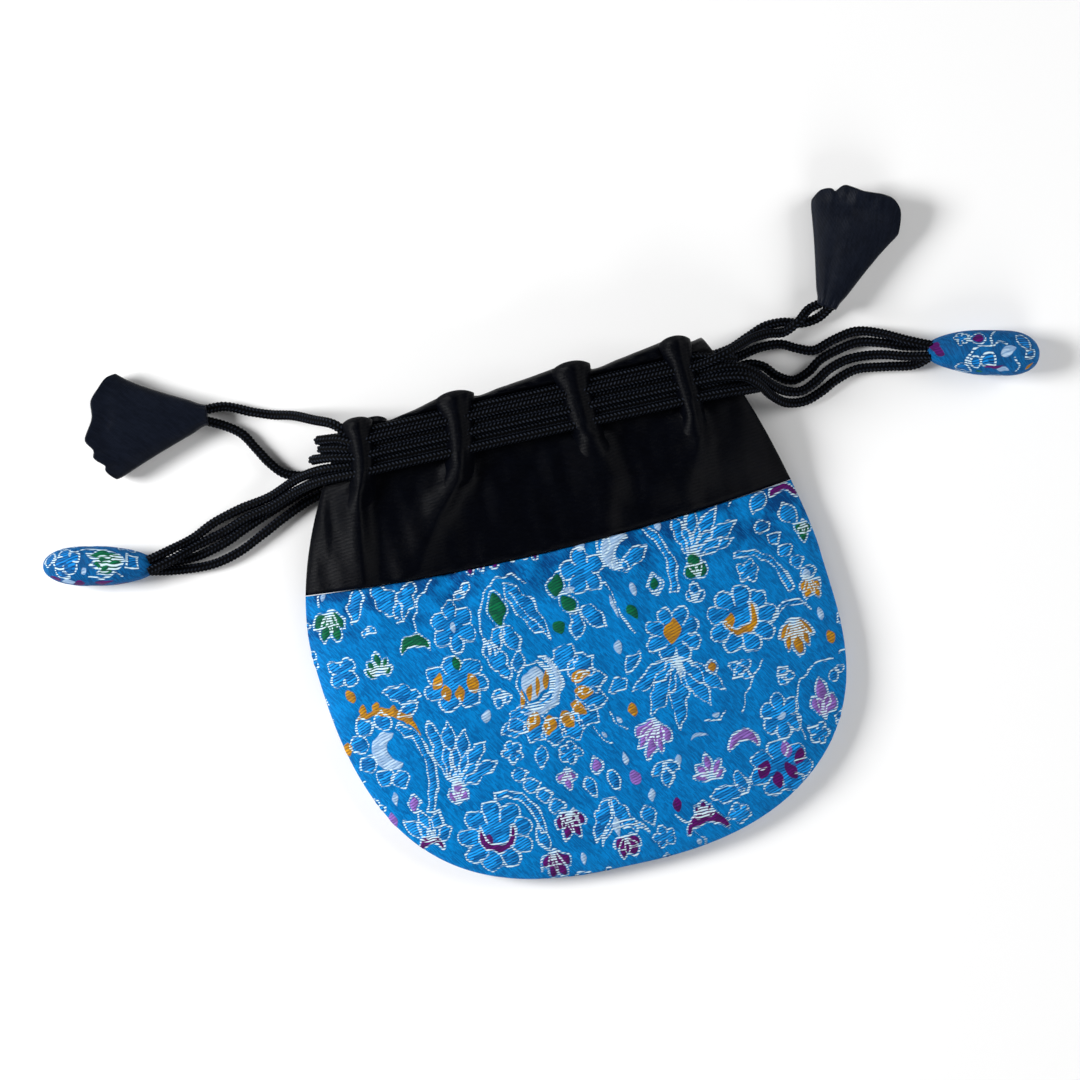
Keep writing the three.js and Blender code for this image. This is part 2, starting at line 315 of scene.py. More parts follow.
@dataclass
class Design:
    """A brocade pattern as a list of marks, in mm on the cloth."""

    marks: list[Mark] = field(default_factory=list)

    def stroke(self, points: Sequence[Point], width: float = 0.0) -> None:
        """Adds a pale line through points, doubled at a width if one is given.

        Args:
            points: Points on the line.
            width: Distance between the two lines, or 0 for one.
        """
        line = smooth_route(points, 0.5)
        if width == 0:
            self.marks.append(Mark(Layer.OUTLINE, line, closed=False))
            return
        run = np.gradient(line, axis=0)
        side = np.column_stack([-run[:, 1], run[:, 0]])
        side /= np.linalg.norm(side, axis=1)[:, None]
        ring = np.vstack([line + side * width / 2, (line - side * width / 2)[::-1]])
        self.marks.append(Mark(Layer.OUTLINE, ring))
        self.marks.append(Mark(Layer.FLOAT, ring, inset=0.3))

    def area(self, layer: Layer, path: Array, inset: float = 0.3, tone: Tone = Tone.GOLD,
             edged: bool = True) -> None:
        """Adds a filled shape.

        Args:
            layer: What fills it.
            path: Its closed outline.
            inset: How far the fill keeps from the outline.
            tone: The accent's colour.
            edged: Whether it has a pale outline.
        """
        if edged:
            self.marks.append(Mark(Layer.OUTLINE, path))
        self.marks.append(Mark(layer, path, inset=inset, tone=tone))

    def leaf(self, base: Point, tip: Point, width: float) -> None:
        """Adds a blue leaf with a pale edge.

        Args:
            base: Where it starts.
            tip: Where it ends.
            width: Its width in mm.
        """
        run = (tip[0] - base[0], tip[1] - base[1])
        length = math.hypot(*run)
        heading = math.degrees(math.atan2(run[1], run[0]))
        notches = 3 if length > 8.5 else 2 if length > 6 else 0
        self.area(Layer.FLOAT, turned(petal_path(length, width * 1.08, 0.85, notches), heading, base))

    def bud(self, centre: Point, length: float, width: float, heading: float = 90,
            tone: Tone | None = None, edged: bool = True) -> None:
        """Adds a small pointed bud, accent coloured or pale.

        Args:
            centre: Its middle.
            length: From end to end in mm.
            width: Its width in mm.
            heading: Where it points, in degrees.
            tone: The accent's colour, or None for a pale bud.
            edged: Whether it has a pale outline.
        """
        body = petal_path(length, width, 1.0) - np.array([length / 2, 0])
        path = turned(body, heading, centre)
        if tone is None:
            self.area(Layer.PALE, path, 0.0, edged=False)
        elif edged:
            self.area(Layer.ACCENT, path, 0.35, tone)
        else:
            self.area(Layer.ACCENT, path, 0.0, tone, edged=False)

    def flower(self, centre: Point, radius: float, petals: int, turn: float = 0.0,
               depth: float = 0.3, squash: float = 1.0) -> None:
        """Adds an open blue flower with round petals.

        Args:
            centre: Its middle.
            radius: Out to a petal's tip.
            petals: How many there are.
            turn: Where the first one points, in degrees.
            depth: How deep the notches between petals are, as a share of the radius.
            squash: Height over width.
        """
        angle = np.linspace(0, 2 * math.pi, 12 * petals, endpoint=False)
        wave = np.abs(np.cos(petals * (angle - math.radians(turn)) / 2)) ** 0.7
        reach = radius * (1 - depth + depth * wave)
        ring = np.column_stack([np.cos(angle) * reach, np.sin(angle) * reach * squash])
        self.area(Layer.FLOAT, ring + np.asarray(centre), 0.35)
        for i in range(petals):
            spoke = math.radians(turn + 360 * (i + 0.5) / petals)
            way = np.array([math.cos(spoke), math.sin(spoke) * squash])
            ends = [np.asarray(centre) + way * radius * share for share in (0.45, 0.72)]
            self.marks.append(Mark(Layer.OUTLINE, np.array(ends), closed=False))

    def fan(self, base: Point, heading: float, length: float, spread: float, petals: int,
            width: float, tone: Tone | None) -> None:
        """Adds petals fanned from one point, accent coloured or blue.

        Args:
            base: Where the petals meet.
            heading: Where the middle one points, in degrees.
            length: The middle petal's length.
            spread: Angle from the first petal to the last.
            petals: How many there are.
            width: Width of a petal.
            tone: The accent's colour, or None for blue.
        """
        for i in range(petals):
            share = i / (petals - 1) - 0.5 if petals > 1 else 0.0
            reach = length * (1 - 0.35 * abs(share) * 2)
            path = turned(petal_path(reach, width, 1.35), heading + spread * share, base)
            if tone is None:
                self.area(Layer.FLOAT, path)
            else:
                self.area(Layer.ACCENT, path, 0.28, tone)

    def crescent(self, centre: Point, radius: float, start: float, end: float, width: float,
                 layer: Layer, tone: Tone = Tone.GOLD, edged: bool = True) -> None:
        """Adds a thick arc that thins at both ends, from one angle to another in degrees.

        Args:
            centre: The arc's centre.
            radius: The arc's radius in mm.
            start: Its first angle.
            end: Its last angle.
            width: Its width at the middle.
            layer: What fills it.
            tone: The accent's colour.
            edged: Whether it has a pale outline.
        """
        angle = np.radians(np.linspace(start, end, 22))
        swell = np.sin(np.linspace(0, math.pi, 22)) ** 0.6 * width / 2
        way = np.column_stack([np.cos(angle), np.sin(angle)])
        ring = np.vstack([way * (radius + swell)[:, None], (way * (radius - swell)[:, None])[::-1]])
        self.area(layer, ring + np.asarray(centre), 0.1, tone, edged)

    def lay_on(self, x: Array, y: Array) -> tuple[dict[Layer, Array], Array]:
        """Measures the pattern at points on the cloth.

        Args:
            x: Across positions in mm.
            y: Along positions in mm.

        Returns:
            For each layer, how deep in its marks a point lies, or how far from a line it is
            for the outlines, and the accent colour at each point.
        """
        sway = 0.32 * ripple(x, y, 3.4, 71)
        y = y + 0.32 * ripple(x, y, 3.0, 72)
        x = x + sway
        fields = {layer: np.full(x.shape, -3.0) for layer in Layer}
        fields[Layer.OUTLINE][:] = 3.0
        tones = np.tile(np.array(Tone.GOLD.value), (x.size, 1))
        for mark in self.marks:
            low, high = mark.path.min(0) - 1.6, mark.path.max(0) + 1.6
            near = np.flatnonzero((x > low[0]) & (x < high[0]) & (y > low[1]) & (y < high[1]))
            if near.size == 0:
                continue
            spots = np.column_stack([x[near], y[near]])
            gap, within = path_distance(spots, mark.path, mark.closed)
            if mark.layer is Layer.OUTLINE:
                fields[mark.layer][near] = np.minimum(fields[mark.layer][near], gap)
                continue
            depth = np.where(within, gap, -gap) - mark.inset
            deeper = depth > fields[mark.layer][near]
            fields[mark.layer][near[deeper]] = depth[deeper]
            if mark.layer is Layer.ACCENT:
                tones[near[deeper]] = mark.tone.value
        return fields, tones


def path_distance(spots: Array, path: Array, closed: bool) -> tuple[Array, Array]:
    """Measures how far spots are from a path, and which of them a closed path holds.

    Args:
        spots: Places on the cloth.
        path: Points of the path.
        closed: Whether the last point joins the first.

    Returns:
        Each spot's distance, and whether it lies inside.
    """
    ends = np.roll(path, -1, axis=0) if closed else path[1:]
    starts = path if closed else path[:-1]
    nearest = np.full(len(spots), np.inf)
    within = np.zeros(len(spots), dtype=bool)
    for a, b in zip(starts, ends):
        run = b - a
        share = np.clip((spots - a) @ run / max(run @ run, 1e-9), 0.0, 1.0)
        offset = spots - a - share[:, None] * run
        nearest = np.minimum(nearest, np.einsum("ij,ij->i", offset, offset))
        if closed:
            crosses = (a[1] > spots[:, 1]) != (b[1] > spots[:, 1])
            rise = run[1] if abs(run[1]) > 1e-9 else 1e-9
            reach = a[0] + (spots[:, 1] - a[1]) * run[0] / rise
            within ^= crosses & (spots[:, 0] < reach)
    return np.sqrt(nearest), within


def seam_side_figures(cloth: Design) -> None:
    """Draws the figures near the satin, with green accents.

    Args:
        cloth: The design that is drawn on.
    """
    green = Tone.GREEN
    cloth.fan((-52.4, 14.0), 262, 8.6, 76, 4, 2.6, green)
    cloth.leaf((-45.0, 17.5), (-48.0, 9.6), 3.4)
    cloth.leaf((-42.0, 17.0), (-36.5, 8.2), 4.6)
    cloth.leaf((-33.0, 16.0), (-38.5, 7.6), 4.0)
    cloth.stroke([(-28.5, 15.6), (-32.2, 12.2), (-34.0, 8.6), (-34.6, 5.2)])
    cloth.flower((-26.3, 4.4), 5.0, 6, 30, 0.36, 1.15)
    cloth.bud((-26.3, 4.4), 2.6, 1.4)
    cloth.flower((-52.4, -0.4), 3.6, 4, 45, 0.4)
    cloth.fan((-44.3, -2.6), 90, 5.4, 130, 5, 1.9, green)
    cloth.fan((-44.8, 8.4), 270, 3.2, 60, 2, 1.5, None)
    cloth.crescent((-35.5, 0.2), 3.2, 10, 170, 2.6, Layer.ACCENT, green)
    cloth.stroke([(-19.6, -3.2), (-20.4, 3.0), (-19.0, 8.6), (-15.6, 12.4), (-11.6, 12.8), (-8.6, 10.6)])
    cloth.bud((-16.1, 6.2), 8.4, 4.6, 90, green)
    cloth.bud((-16.1, 7.0), 4.4, 2.0, 90)
    cloth.leaf((-16.4, 2.6), (-18.6, -3.4), 2.6)
    cloth.leaf((-15.8, 2.6), (-13.0, -4.0), 3.0)
    cloth.leaf((-13.4, 11.4), (-6.0, -2.6), 4.2)
    cloth.stroke([(-12.9, 9.6), (-10.4, 4.6), (-7.2, -0.6)])
    cloth.bud((-2.4, 8.4), 5.6, 4.0, 70, green)
    cloth.bud((-0.6, 4.0), 6.0, 3.4, 120, green)
    cloth.bud((0.4, 6.9), 2.6, 1.6, 10)
    cloth.flower((4.0, 10.2), 4.8, 5, 20, 0.34, 1.1)
    cloth.leaf((1.2, 2.6), (-0.4, -4.2), 3.0)
    cloth.leaf((2.0, 2.8), (6.6, -2.8), 3.4)
    cloth.bud((9.0, 1.0), 6.0, 0.9, 106)
    cloth.stroke([(8.2, 7.0), (9.8, 1.0), (12.2, -5.6)])
    cloth.bud((13.8, 4.2), 3.4, 1.6, 100)
    cloth.crescent((13.6, 12.4), 3.4, 60, 250, 3.4, Layer.PALE)
    cloth.leaf((10.8, 17.0), (8.4, 12.6), 3.0)
    cloth.leaf((12.6, 9.2), (19.0, 12.8), 3.4)
    cloth.leaf((10.8, 10.6), (14.2, 8.6), 2.6)
    cloth.stroke([(18.6, 17.4), (22.0, 12.6), (23.4, 7.0), (22.6, 1.2)], 1.5)
    for tip, width in (((25.4, 18.4), 3.2), ((30.4, 19.2), 3.2), ((35.6, 17.8), 3.4),
                       ((39.6, 14.0), 3.4), ((38.2, 10.0), 2.6)):
        cloth.leaf((28.2, 8.8), tip, width)
    cloth.fan((28.4, 3.0), 90, 6.4, 64, 3, 3.0, green)
    cloth.bud((28.4, 6.0), 5.0, 1.5, 84)
    for i in range(5):
        cloth.leaf((43.4 + 1.9 * i, 10.4 - 2.9 * i), (46.4 + 2.0 * i, 11.8 - 3.0 * i), 2.6)
    cloth.stroke([(37.2, 6.4), (42.0, 5.8), (46.4, 1.6), (48.2, -3.6)], 1.3)
    cloth.crescent((50.8, 15.4), 3.4, 10, 150, 1.8, Layer.ACCENT, Tone.PURPLE)
    cloth.leaf((46.8, 18.6), (43.4, 14.6), 3.0)
    cloth.leaf((50.0, 15.0), (52.4, 10.4), 3.6)
    cloth.fan((54.0, 10.8), 262, 5.0, 50, 3, 2.2, green)
    for x, y, heading in ((-27.2, -3.6, 90), (-3.6, -0.6, 90), (12.6, -0.6, 115), (18.8, 3.9, 90)):
        cloth.bud((x, y), 3.6, 2.4, heading, green, edged=x > 18)
    cloth.stroke([(17.0, 3.9), (18.8, 6.4), (20.6, 3.9), (18.8, 1.4), (17.0, 3.9)])
    for x in (-20.0, -17.6, -14.6, -5.6, 4.6, 22.4):
        tone = Tone.PURPLE if x < 0 else None
        cloth.bud((x, 15.8 + 0.001 * x * x), 3.0, 1.7, 92, tone)


def middle_figures(cloth: Design) -> None:
    """Draws the large figures across the middle, with gold accents.

    Args:
        cloth: The design that is drawn on.
    """
    gold = Tone.GOLD
    cloth.flower((-28.4, -7.8), 7.4, 7, 90, 0.28, 0.82)
    for x, y, size, heading in ((-32.2, -6.6, 4.4, 60), (-30.8, -9.4, 3.8, 90),
                                (-27.9, -10.2, 3.6, 90), (-24.8, -8.4, 4.8, 96)):
        cloth.bud((x, y), size, 2.5, heading, gold, edged=False)
    cloth.leaf((-36.6, -8.8), (-44.8, -6.2), 3.6)
    cloth.leaf((-37.4, -10.2), (-42.4, -12.2), 2.4)
    cloth.crescent((-47.4, -19.8), 9.4, 12, 122, 1.9, Layer.ACCENT, gold, edged=False)
    for x, y in ((-50.0, -9.4), (-46.8, -9.2), (-43.4, -10.6), (-40.4, -13.2)):
        cloth.bud((x, y), 2.6, 1.8, 70, gold, edged=False)
    cloth.crescent((-44.8, -19.2), 3.4, 80, 300, 3.8, Layer.PALE, edged=False)
    for x, y, heading in ((-50.6, -12.8, 120), (-52.6, -16.6, 165), (-51.6, -21.4, 200),
                          (-48.4, -25.2, 235), (-44.8, -26.2, 280), (-46.0, -12.4, 80)):
        reach = math.radians(heading)
        base = (x - 2.4 * math.cos(reach), y - 2.4 * math.sin(reach))
        tip = (x + 2.0 * math.cos(reach), y + 2.0 * math.sin(reach))
        cloth.leaf(base, tip, 3.6)
    cloth.stroke([(-43.0, -14.2), (-39.4, -18.0), (-37.8, -23.0), (-38.2, -29.0), (-40.0, -34.2)], 1.7)
    for tip in ((-36.4, -14.2), (-32.2, -15.2), (-28.6, -17.8), (-24.8, -21.2), (-23.0, -26.4)):
        cloth.leaf((-33.4, -29.4), tip, 3.5)
    cloth.fan((-33.6, -33.8), 78, 5.6, 66, 3, 2.4, Tone.LILAC)
    cloth.bud((-33.4, -30.4), 4.8, 1.6, 72)
    # The large palmette
    for angle in range(-150, 60, 26):
        way = math.radians(angle)
        base = (-8.4 + 5.4 * math.cos(way), -14.4 + 5.4 * math.sin(way))
        tip = (-8.4 + 12.6 * math.cos(way), -14.4 + 11.6 * math.sin(way))
        cloth.leaf(base, tip, 5.2)
    for angle in (-128, -100, -68, -42, -14, 14):
        way = math.radians(angle)
        centre = (-9.0 + 7.6 * math.cos(way), -13.8 + 7.4 * math.sin(way))
        cloth.bud(centre, 4.6, 2.9, angle, gold, edged=False)
    cloth.area(Layer.PALE, turned(petal_path(10.4, 7.8, 1.1), 70, (-13.4, -16.4)), 1.0)
    for i in range(4):
        cloth.bud((-15.0 + 2.0 * i, -14.2 + 1.0 * i), 4.6, 1.2, 76, gold, edged=False)
    cloth.crescent((-12.6, -11.4), 6.4, -118, 60, 1.9, Layer.PALE)
    cloth.crescent((-12.6, -11.4), 4.9, -118, 52, 0.9, Layer.FLOAT)
    cloth.leaf((-16.6, -9.4), (-20.4, 0.4), 3.6)
    cloth.leaf((-14.6, -8.2), (-13.4, -3.8), 2.6)
    cloth.leaf((-15.4, -19.4), (-21.2, -20.8), 3.8)
    cloth.flower((20.6, -7.6), 6.2, 8, 15, 0.3, 1.0)
    cloth.bud((20.4, -6.8), 6.0, 3.6, 70, gold, edged=False)
    cloth.bud((20.4, -6.8), 3.6, 1.1, 70)
    cloth.leaf((20.0, -12.6), (9.0, -18.0), 3.6)
    cloth.leaf((20.0, -12.6), (11.8, -24.0), 4.2)
    cloth.leaf((20.0, -12.6), (17.6, -28.4), 4.0)
    cloth.leaf((20.2, -12.6), (25.4, -24.6), 4.2)
    cloth.leaf((20.2, -13.2), (29.4, -22.0), 3.4)
    cloth.bud((20.2, -14.8), 5.4, 1.6, 84)
    cloth.leaf((8.6, -13.6), (12.2, -9.4), 2.4)
    cloth.flower((36.0, -7.6), 8.0, 9, 0, 0.26, 0.95)
    cloth.crescent((35.4, -6.6), 3.6, 190, 400, 1.8, Layer.ACCENT, gold)
    cloth.bud((33.2, -7.6), 4.0, 2.2, 75, gold, edged=False)
    cloth.fan((47.2, -9.8), 268, 9.0, 84, 5, 2.3, gold)
    cloth.crescent((47.2, -11.6), 5.2, 35, 145, 1.2, Layer.FLOAT)
    cloth.fan((52.6, -2.0), 268, 5.4, 90, 4, 2.2, gold)
    cloth.bud((52.2, -1.4), 3.0, 1.8, 90)
    cloth.leaf((35.6, -16.6), (31.0, -20.0), 2.2)
    cloth.leaf((31.0, -16.4), (35.8, -20.8), 2.2)
    cloth.stroke([(38.6, -17.2), (34.6, -22.2), (31.4, -27.4)])
    for x, y, edged in ((27.2, -16.4, True), (8.2, -21.8, False), (54.4, -15.6, False),
                        (-51.8, -5.8, False), (-55.0, -17.0, False)):
        cloth.bud((x, y), 3.4, 2.4, 90, gold, edged)
    cloth.bud((-23.4, -16.4), 3.0, 2.4, 60, None)
    cloth.bud((8.0, -7.6), 3.4, 1.7, 90)
    cloth.bud((53.2, -10.4), 3.0, 1.5, 90)


def bottom_figures(cloth: Design) -> None:
    """Draws the figures of the round bottom, with lilac and purple accents.

    Args:
        cloth: The design that is drawn on.
    """
    lilac, purple = Tone.LILAC, Tone.PURPLE
    cloth.fan((12.8, -24.6), 248, 9.6, 78, 5, 2.4, lilac)
    for x, y, edged in ((-43.2, -31.8, True), (-48.8, -35.0, False), (-2.1, -32.1, True),
                        (5.6, -36.5, False), (39.4, -37.7, False)):
        cloth.bud((x, y), 4.0, 2.5, 90, lilac, edged)
    cloth.fan((-9.0, -31.4), 270, 5.0, 70, 3, 2.0, lilac)
    for x, y in ((-4.3, -36.5), (0.9, -36.0), (6.8, -45.4)):
        cloth.leaf((x - 0.8, y + 2.4), (x + 0.8, y - 2.4), 2.6)
    cloth.fan((12.5, -34.4), 270, 6.0, 96, 3, 2.5, None)
    cloth.fan((21.8, -40.6), 90, 6.0, 140, 5, 2.0, lilac)
    cloth.crescent((21.2, -32.6), 2.4, 30, 150, 1.0, Layer.PALE, edged=False)
    cloth.crescent((30.6, -36.0), 3.4, 5, 175, 2.4, Layer.ACCENT, lilac)
    cloth.flower((39.8, -30.4), 4.8, 6, 30, 0.36, 1.1)
    cloth.bud((39.8, -30.4), 2.4, 1.4, 0)
    cloth.stroke([(44.0, -36.6), (43.4, -29.6), (46.0, -23.6), (50.4, -20.6), (54.0, -20.8)])
    cloth.fan((49.6, -33.4), 88, 9.6, 46, 3, 3.0, lilac)
    cloth.bud((49.4, -26.6), 4.0, 1.7, 90)
    for x, y in ((15.5, -34.6), (4.2, -32.2), (8.4, -41.2), (-47.2, -29.8), (-9.4, -51.6)):
        cloth.bud((x, y), 3.0, 1.4, 92)
    for i in range(5):
        cloth.leaf((-21.0 + 2.2 * i, -30.6 - 2.8 * i), (-17.2 + 2.2 * i, -30.2 - 2.9 * i), 2.8)
    cloth.stroke([(-25.8, -33.8), (-21.0, -34.6), (-17.6, -38.6), (-16.6, -44.0)], 1.4)
    cloth.flower((-27.0, -42.8), 8.4, 9, 10, 0.27, 0.95)
    cloth.crescent((-26.6, -41.8), 3.7, 150, 380, 1.9, Layer.ACCENT, purple)
    cloth.bud((-29.2, -43.6), 4.0, 2.4, 70, purple, edged=False)
    for tip in ((-46.4, -35.2), (-42.4, -33.6), (-38.2, -34.6), (-36.4, -38.4)):
        cloth.leaf((-41.2, -40.6), tip, 3.2)
    cloth.crescent((-41.6, -43.2), 2.6, 0, 180, 1.8, Layer.ACCENT, purple)
    cloth.fan((-10.4, -40.6), 268, 7.4, 84, 4, 2.7, purple)
    cloth.bud((-10.2, -41.6), 4.0, 2.2, 60)
    cloth.fan((-15.6, -48.4), 270, 8.0, 76, 4, 2.5, purple)
    cloth.leaf((-16.6, -48.0), (-17.6, -42.6), 2.6)
    cloth.leaf((-1.2, -39.6), (-6.0, -48.8), 3.2)
    cloth.leaf((-1.2, -39.6), (3.4, -48.4), 3.2)
    cloth.bud((-0.8, -46.4), 4.6, 1.8, 90)
    cloth.fan((0.8, -48.6), 268, 6.2, 90, 4, 2.8, purple)
    cloth.crescent((0.8, -51.4), 5.6, 20, 165, 1.1, Layer.FLOAT)
    cloth.crescent((18.8, -53.2), 4.6, 10, 170, 2.6, Layer.ACCENT, purple)
    cloth.fan((18.8, -48.2), 90, 3.6, 150, 5, 1.6, purple)
    cloth.flower((37.4, -41.6), 7.4, 7, 90, 0.3, 0.85)
    for x, y, size, heading in ((33.6, -41.2, 4.6, 62), (36.2, -44.0, 4.4, 92), (39.6, -42.6, 4.8, 110),
                                (42.0, -40.0, 4.0, 60)):
        cloth.bud((x, y), size, 2.7, heading, purple, edged=False)
    cloth.leaf((28.6, -44.6), (20.6, -44.6), 3.6)
    cloth.leaf((28.8, -45.4), (27.4, -40.0), 2.8)
    cloth.bud((13.3, -44.4), 3.4, 1.6, 90, purple, edged=False)
    cloth.stroke([(12.4, -46.4), (14.0, -48.4), (15.6, -49.6)])


def left_pod_design() -> Design:
    """Draws the cloth of the left pod, along +X from its neck.

    Returns:
        The design.
    """
    cloth = Design()
    cloth.area(Layer.FLOAT, np.array([(1.4, -2.6), (3.8, -2.9), (4.0, 0.2), (1.6, 0.4)]), 0.3)
    for tip, width in (((12.6, -2.6), 3.4), ((11.8, -0.2), 3.0), ((10.6, 1.4), 2.4)):
        cloth.area(Layer.ACCENT, turned(petal_path(math.dist((4.6, -1.0), tip), width, 0.85, 2),
                                        math.degrees(math.atan2(tip[1] + 1.0, tip[0] - 4.6)), (4.6, -1.0)),
                   0.25, Tone.GREEN)
    cloth.flower((17.0, -1.2), 2.9, 4, 20, 0.34)
    cloth.leaf((19.6, 1.0), (16.2, 2.4), 2.2)
    cloth.bud((13.2, 0.8), 1.7, 1.3, 40)
    cloth.stroke([(9.4, -3.6), (12.6, -3.9), (15.2, -3.2)])
    cloth.stroke([(4.6, 2.2), (6.6, 1.2), (9.0, 2.6), (12.0, 1.9)])
    for x, y, length, tone in ((14.4, 4.2, 3.2, Tone.PURPLE), (9.2, 3.9, 4.4, Tone.PURPLE),
                               (5.4, 5.6, 3.0, Tone.PURPLE), (19.6, 3.8, 2.2, Tone.PURPLE)):
        cloth.bud((x, y), length, 2.0, 14, tone, edged=False)
    cloth.bud((16.8, 3.9), 3.6, 2.2, 10)
    for x, y in ((4.0, -6.8), (10.8, -7.8), (17.2, -7.2), (7.4, -11.8), (14.4, -12.6),
                 (4.0, -16.0), (11.0, -17.0)):
        cloth.flower((x, y), 2.6, 5, 12 * x, 0.34)
    cloth.leaf((20.4, -4.4), (21.6, 0.4), 2.0)
    return cloth


def right_pod_design() -> Design:
    """Draws the cloth of the right pod, along +X from its neck.

    Returns:
        The design.
    """
    cloth = Design()
    for x, y, length in ((-0.4, 2.2, 3.2), (-0.2, 0.8, 3.4), (0.6, -0.6, 2.6)):
        cloth.bud((x, y), length, 2.2, -24, Tone.PURPLE, edged=False)
    ring = np.linspace(0, 2 * math.pi, 20, endpoint=False)
    dot = np.column_stack([np.cos(ring) * 1.7, np.sin(ring) * 1.35]) + np.array([9.0, 2.7])
    cloth.area(Layer.ACCENT, dot, 0.45, Tone.PURPLE)
    cloth.flower((5.4, 3.0), 1.9, 5, 30, 0.4)
    cloth.stroke([(12.6, 4.8), (11.8, 2.8), (11.9, 1.2), (9.4, 0.9), (7.4, -0.2), (6.6, -2.2),
                  (7.2, -3.8)])
    cloth.stroke([(12.2, 1.0), (13.8, 1.8), (15.4, 1.4)])
    for base, tip, width in (((8.2, -0.8), (9.0, -3.6), 2.4), ((10.0, -0.6), (12.6, -2.6), 2.6),
                             ((4.2, -3.6), (7.6, -4.6), 2.2), ((17.6, 4.0), (20.8, 1.0), 2.8),
                             ((19.6, -1.0), (21.8, 0.8), 2.0)):
        cloth.leaf(base, tip, width)
    cloth.bud((15.6, 0.2), 3.4, 1.8, 16)
    cloth.bud((14.6, -3.6), 3.2, 1.6, -12)
    cloth.bud((12.8, -2.9), 4.2, 1.0, 12, Tone.PURPLE, edged=False)
    cloth.bud((9.6, -4.9), 2.2, 0.9, 4, Tone.GREEN, edged=False)
    cloth.bud((20.6, -3.4), 2.8, 0.9, 40, Tone.GOLD, edged=False)
    cloth.stroke([(17.2, -1.0), (18.4, -2.6), (17.4, -4.4)])
    for x, y in ((6.0, -8.6), (13.6, -8.8), (20.0, -9.4), (9.6, -13.6), (16.8, -14.4),
                 (5.0, -17.6), (12.8, -18.6)):
        cloth.flower((x, y), 2.8, 6, 10 * x, 0.34)
    return cloth


def open_ground_sprigs(cloth: Design, tries: int = 5000, room: float = 3.1) -> None:
    """Fills the open ground between the figures with small leaves, curls and buds.

    Args:
        cloth: The design, with its figures drawn.
        tries: How many places are tried.
        room: How far a sprig keeps from every other mark.
    """
    rng = np.random.default_rng(SEED)
    taken = np.vstack([mark.path for mark in cloth.marks])
    for _ in range(tries):
        place = np.array([rng.uniform(-68, 60), rng.uniform(-64, 20)])
        heading, kind = rng.uniform(0, 360), rng.integers(0, 5)
        if np.min(np.sum((taken - place) ** 2, axis=1)) < room**2:
            continue
        before = len(cloth.marks)
        a = math.radians(heading)
        way = np.array([math.cos(a), math.sin(a)])
        if kind == 0:
            cloth.fan(tuple(place - way * 1.8), heading, 4.2, 80, 3, 1.9, None)
        elif kind == 1:
            cloth.leaf(tuple(place - way * 2.4), tuple(place + way * 2.4), 2.6)
        elif kind == 2:
            bend = np.array([-way[1], way[0]])
            cloth.stroke([tuple(place - way * 2.6 + bend), tuple(place),
                          tuple(place + way * 2.6 + bend)])
            cloth.bud(tuple(place + bend * 1.2), 1.8, 1.2, heading)
        elif kind == 3:
            cloth.flower(tuple(place), 2.5, 5, heading, 0.34)
        else:
            cloth.leaf(tuple(place - way * 2.2), tuple(place + way * 1.0), 2.0)
            cloth.leaf(tuple(place + way * 0.4), tuple(place + way * 2.8), 1.4)
        taken = np.vstack([taken, *[mark.path for mark in cloth.marks[before:]]])


def brocade_design() -> Design:
    """Draws the whole cloth: palmettes, flowers, leaves and buds on a plain ground.

    Returns:
        The design.
    """
    cloth = Design()
    seam_side_figures(cloth)
    middle_figures(cloth)
    bottom_figures(cloth)
    open_ground_sprigs(cloth)
    return cloth


# Finishes -----------------------------------------------------------------------------------------

Socket = bpy.types.NodeSocket
Colour = tuple[float, float, float]


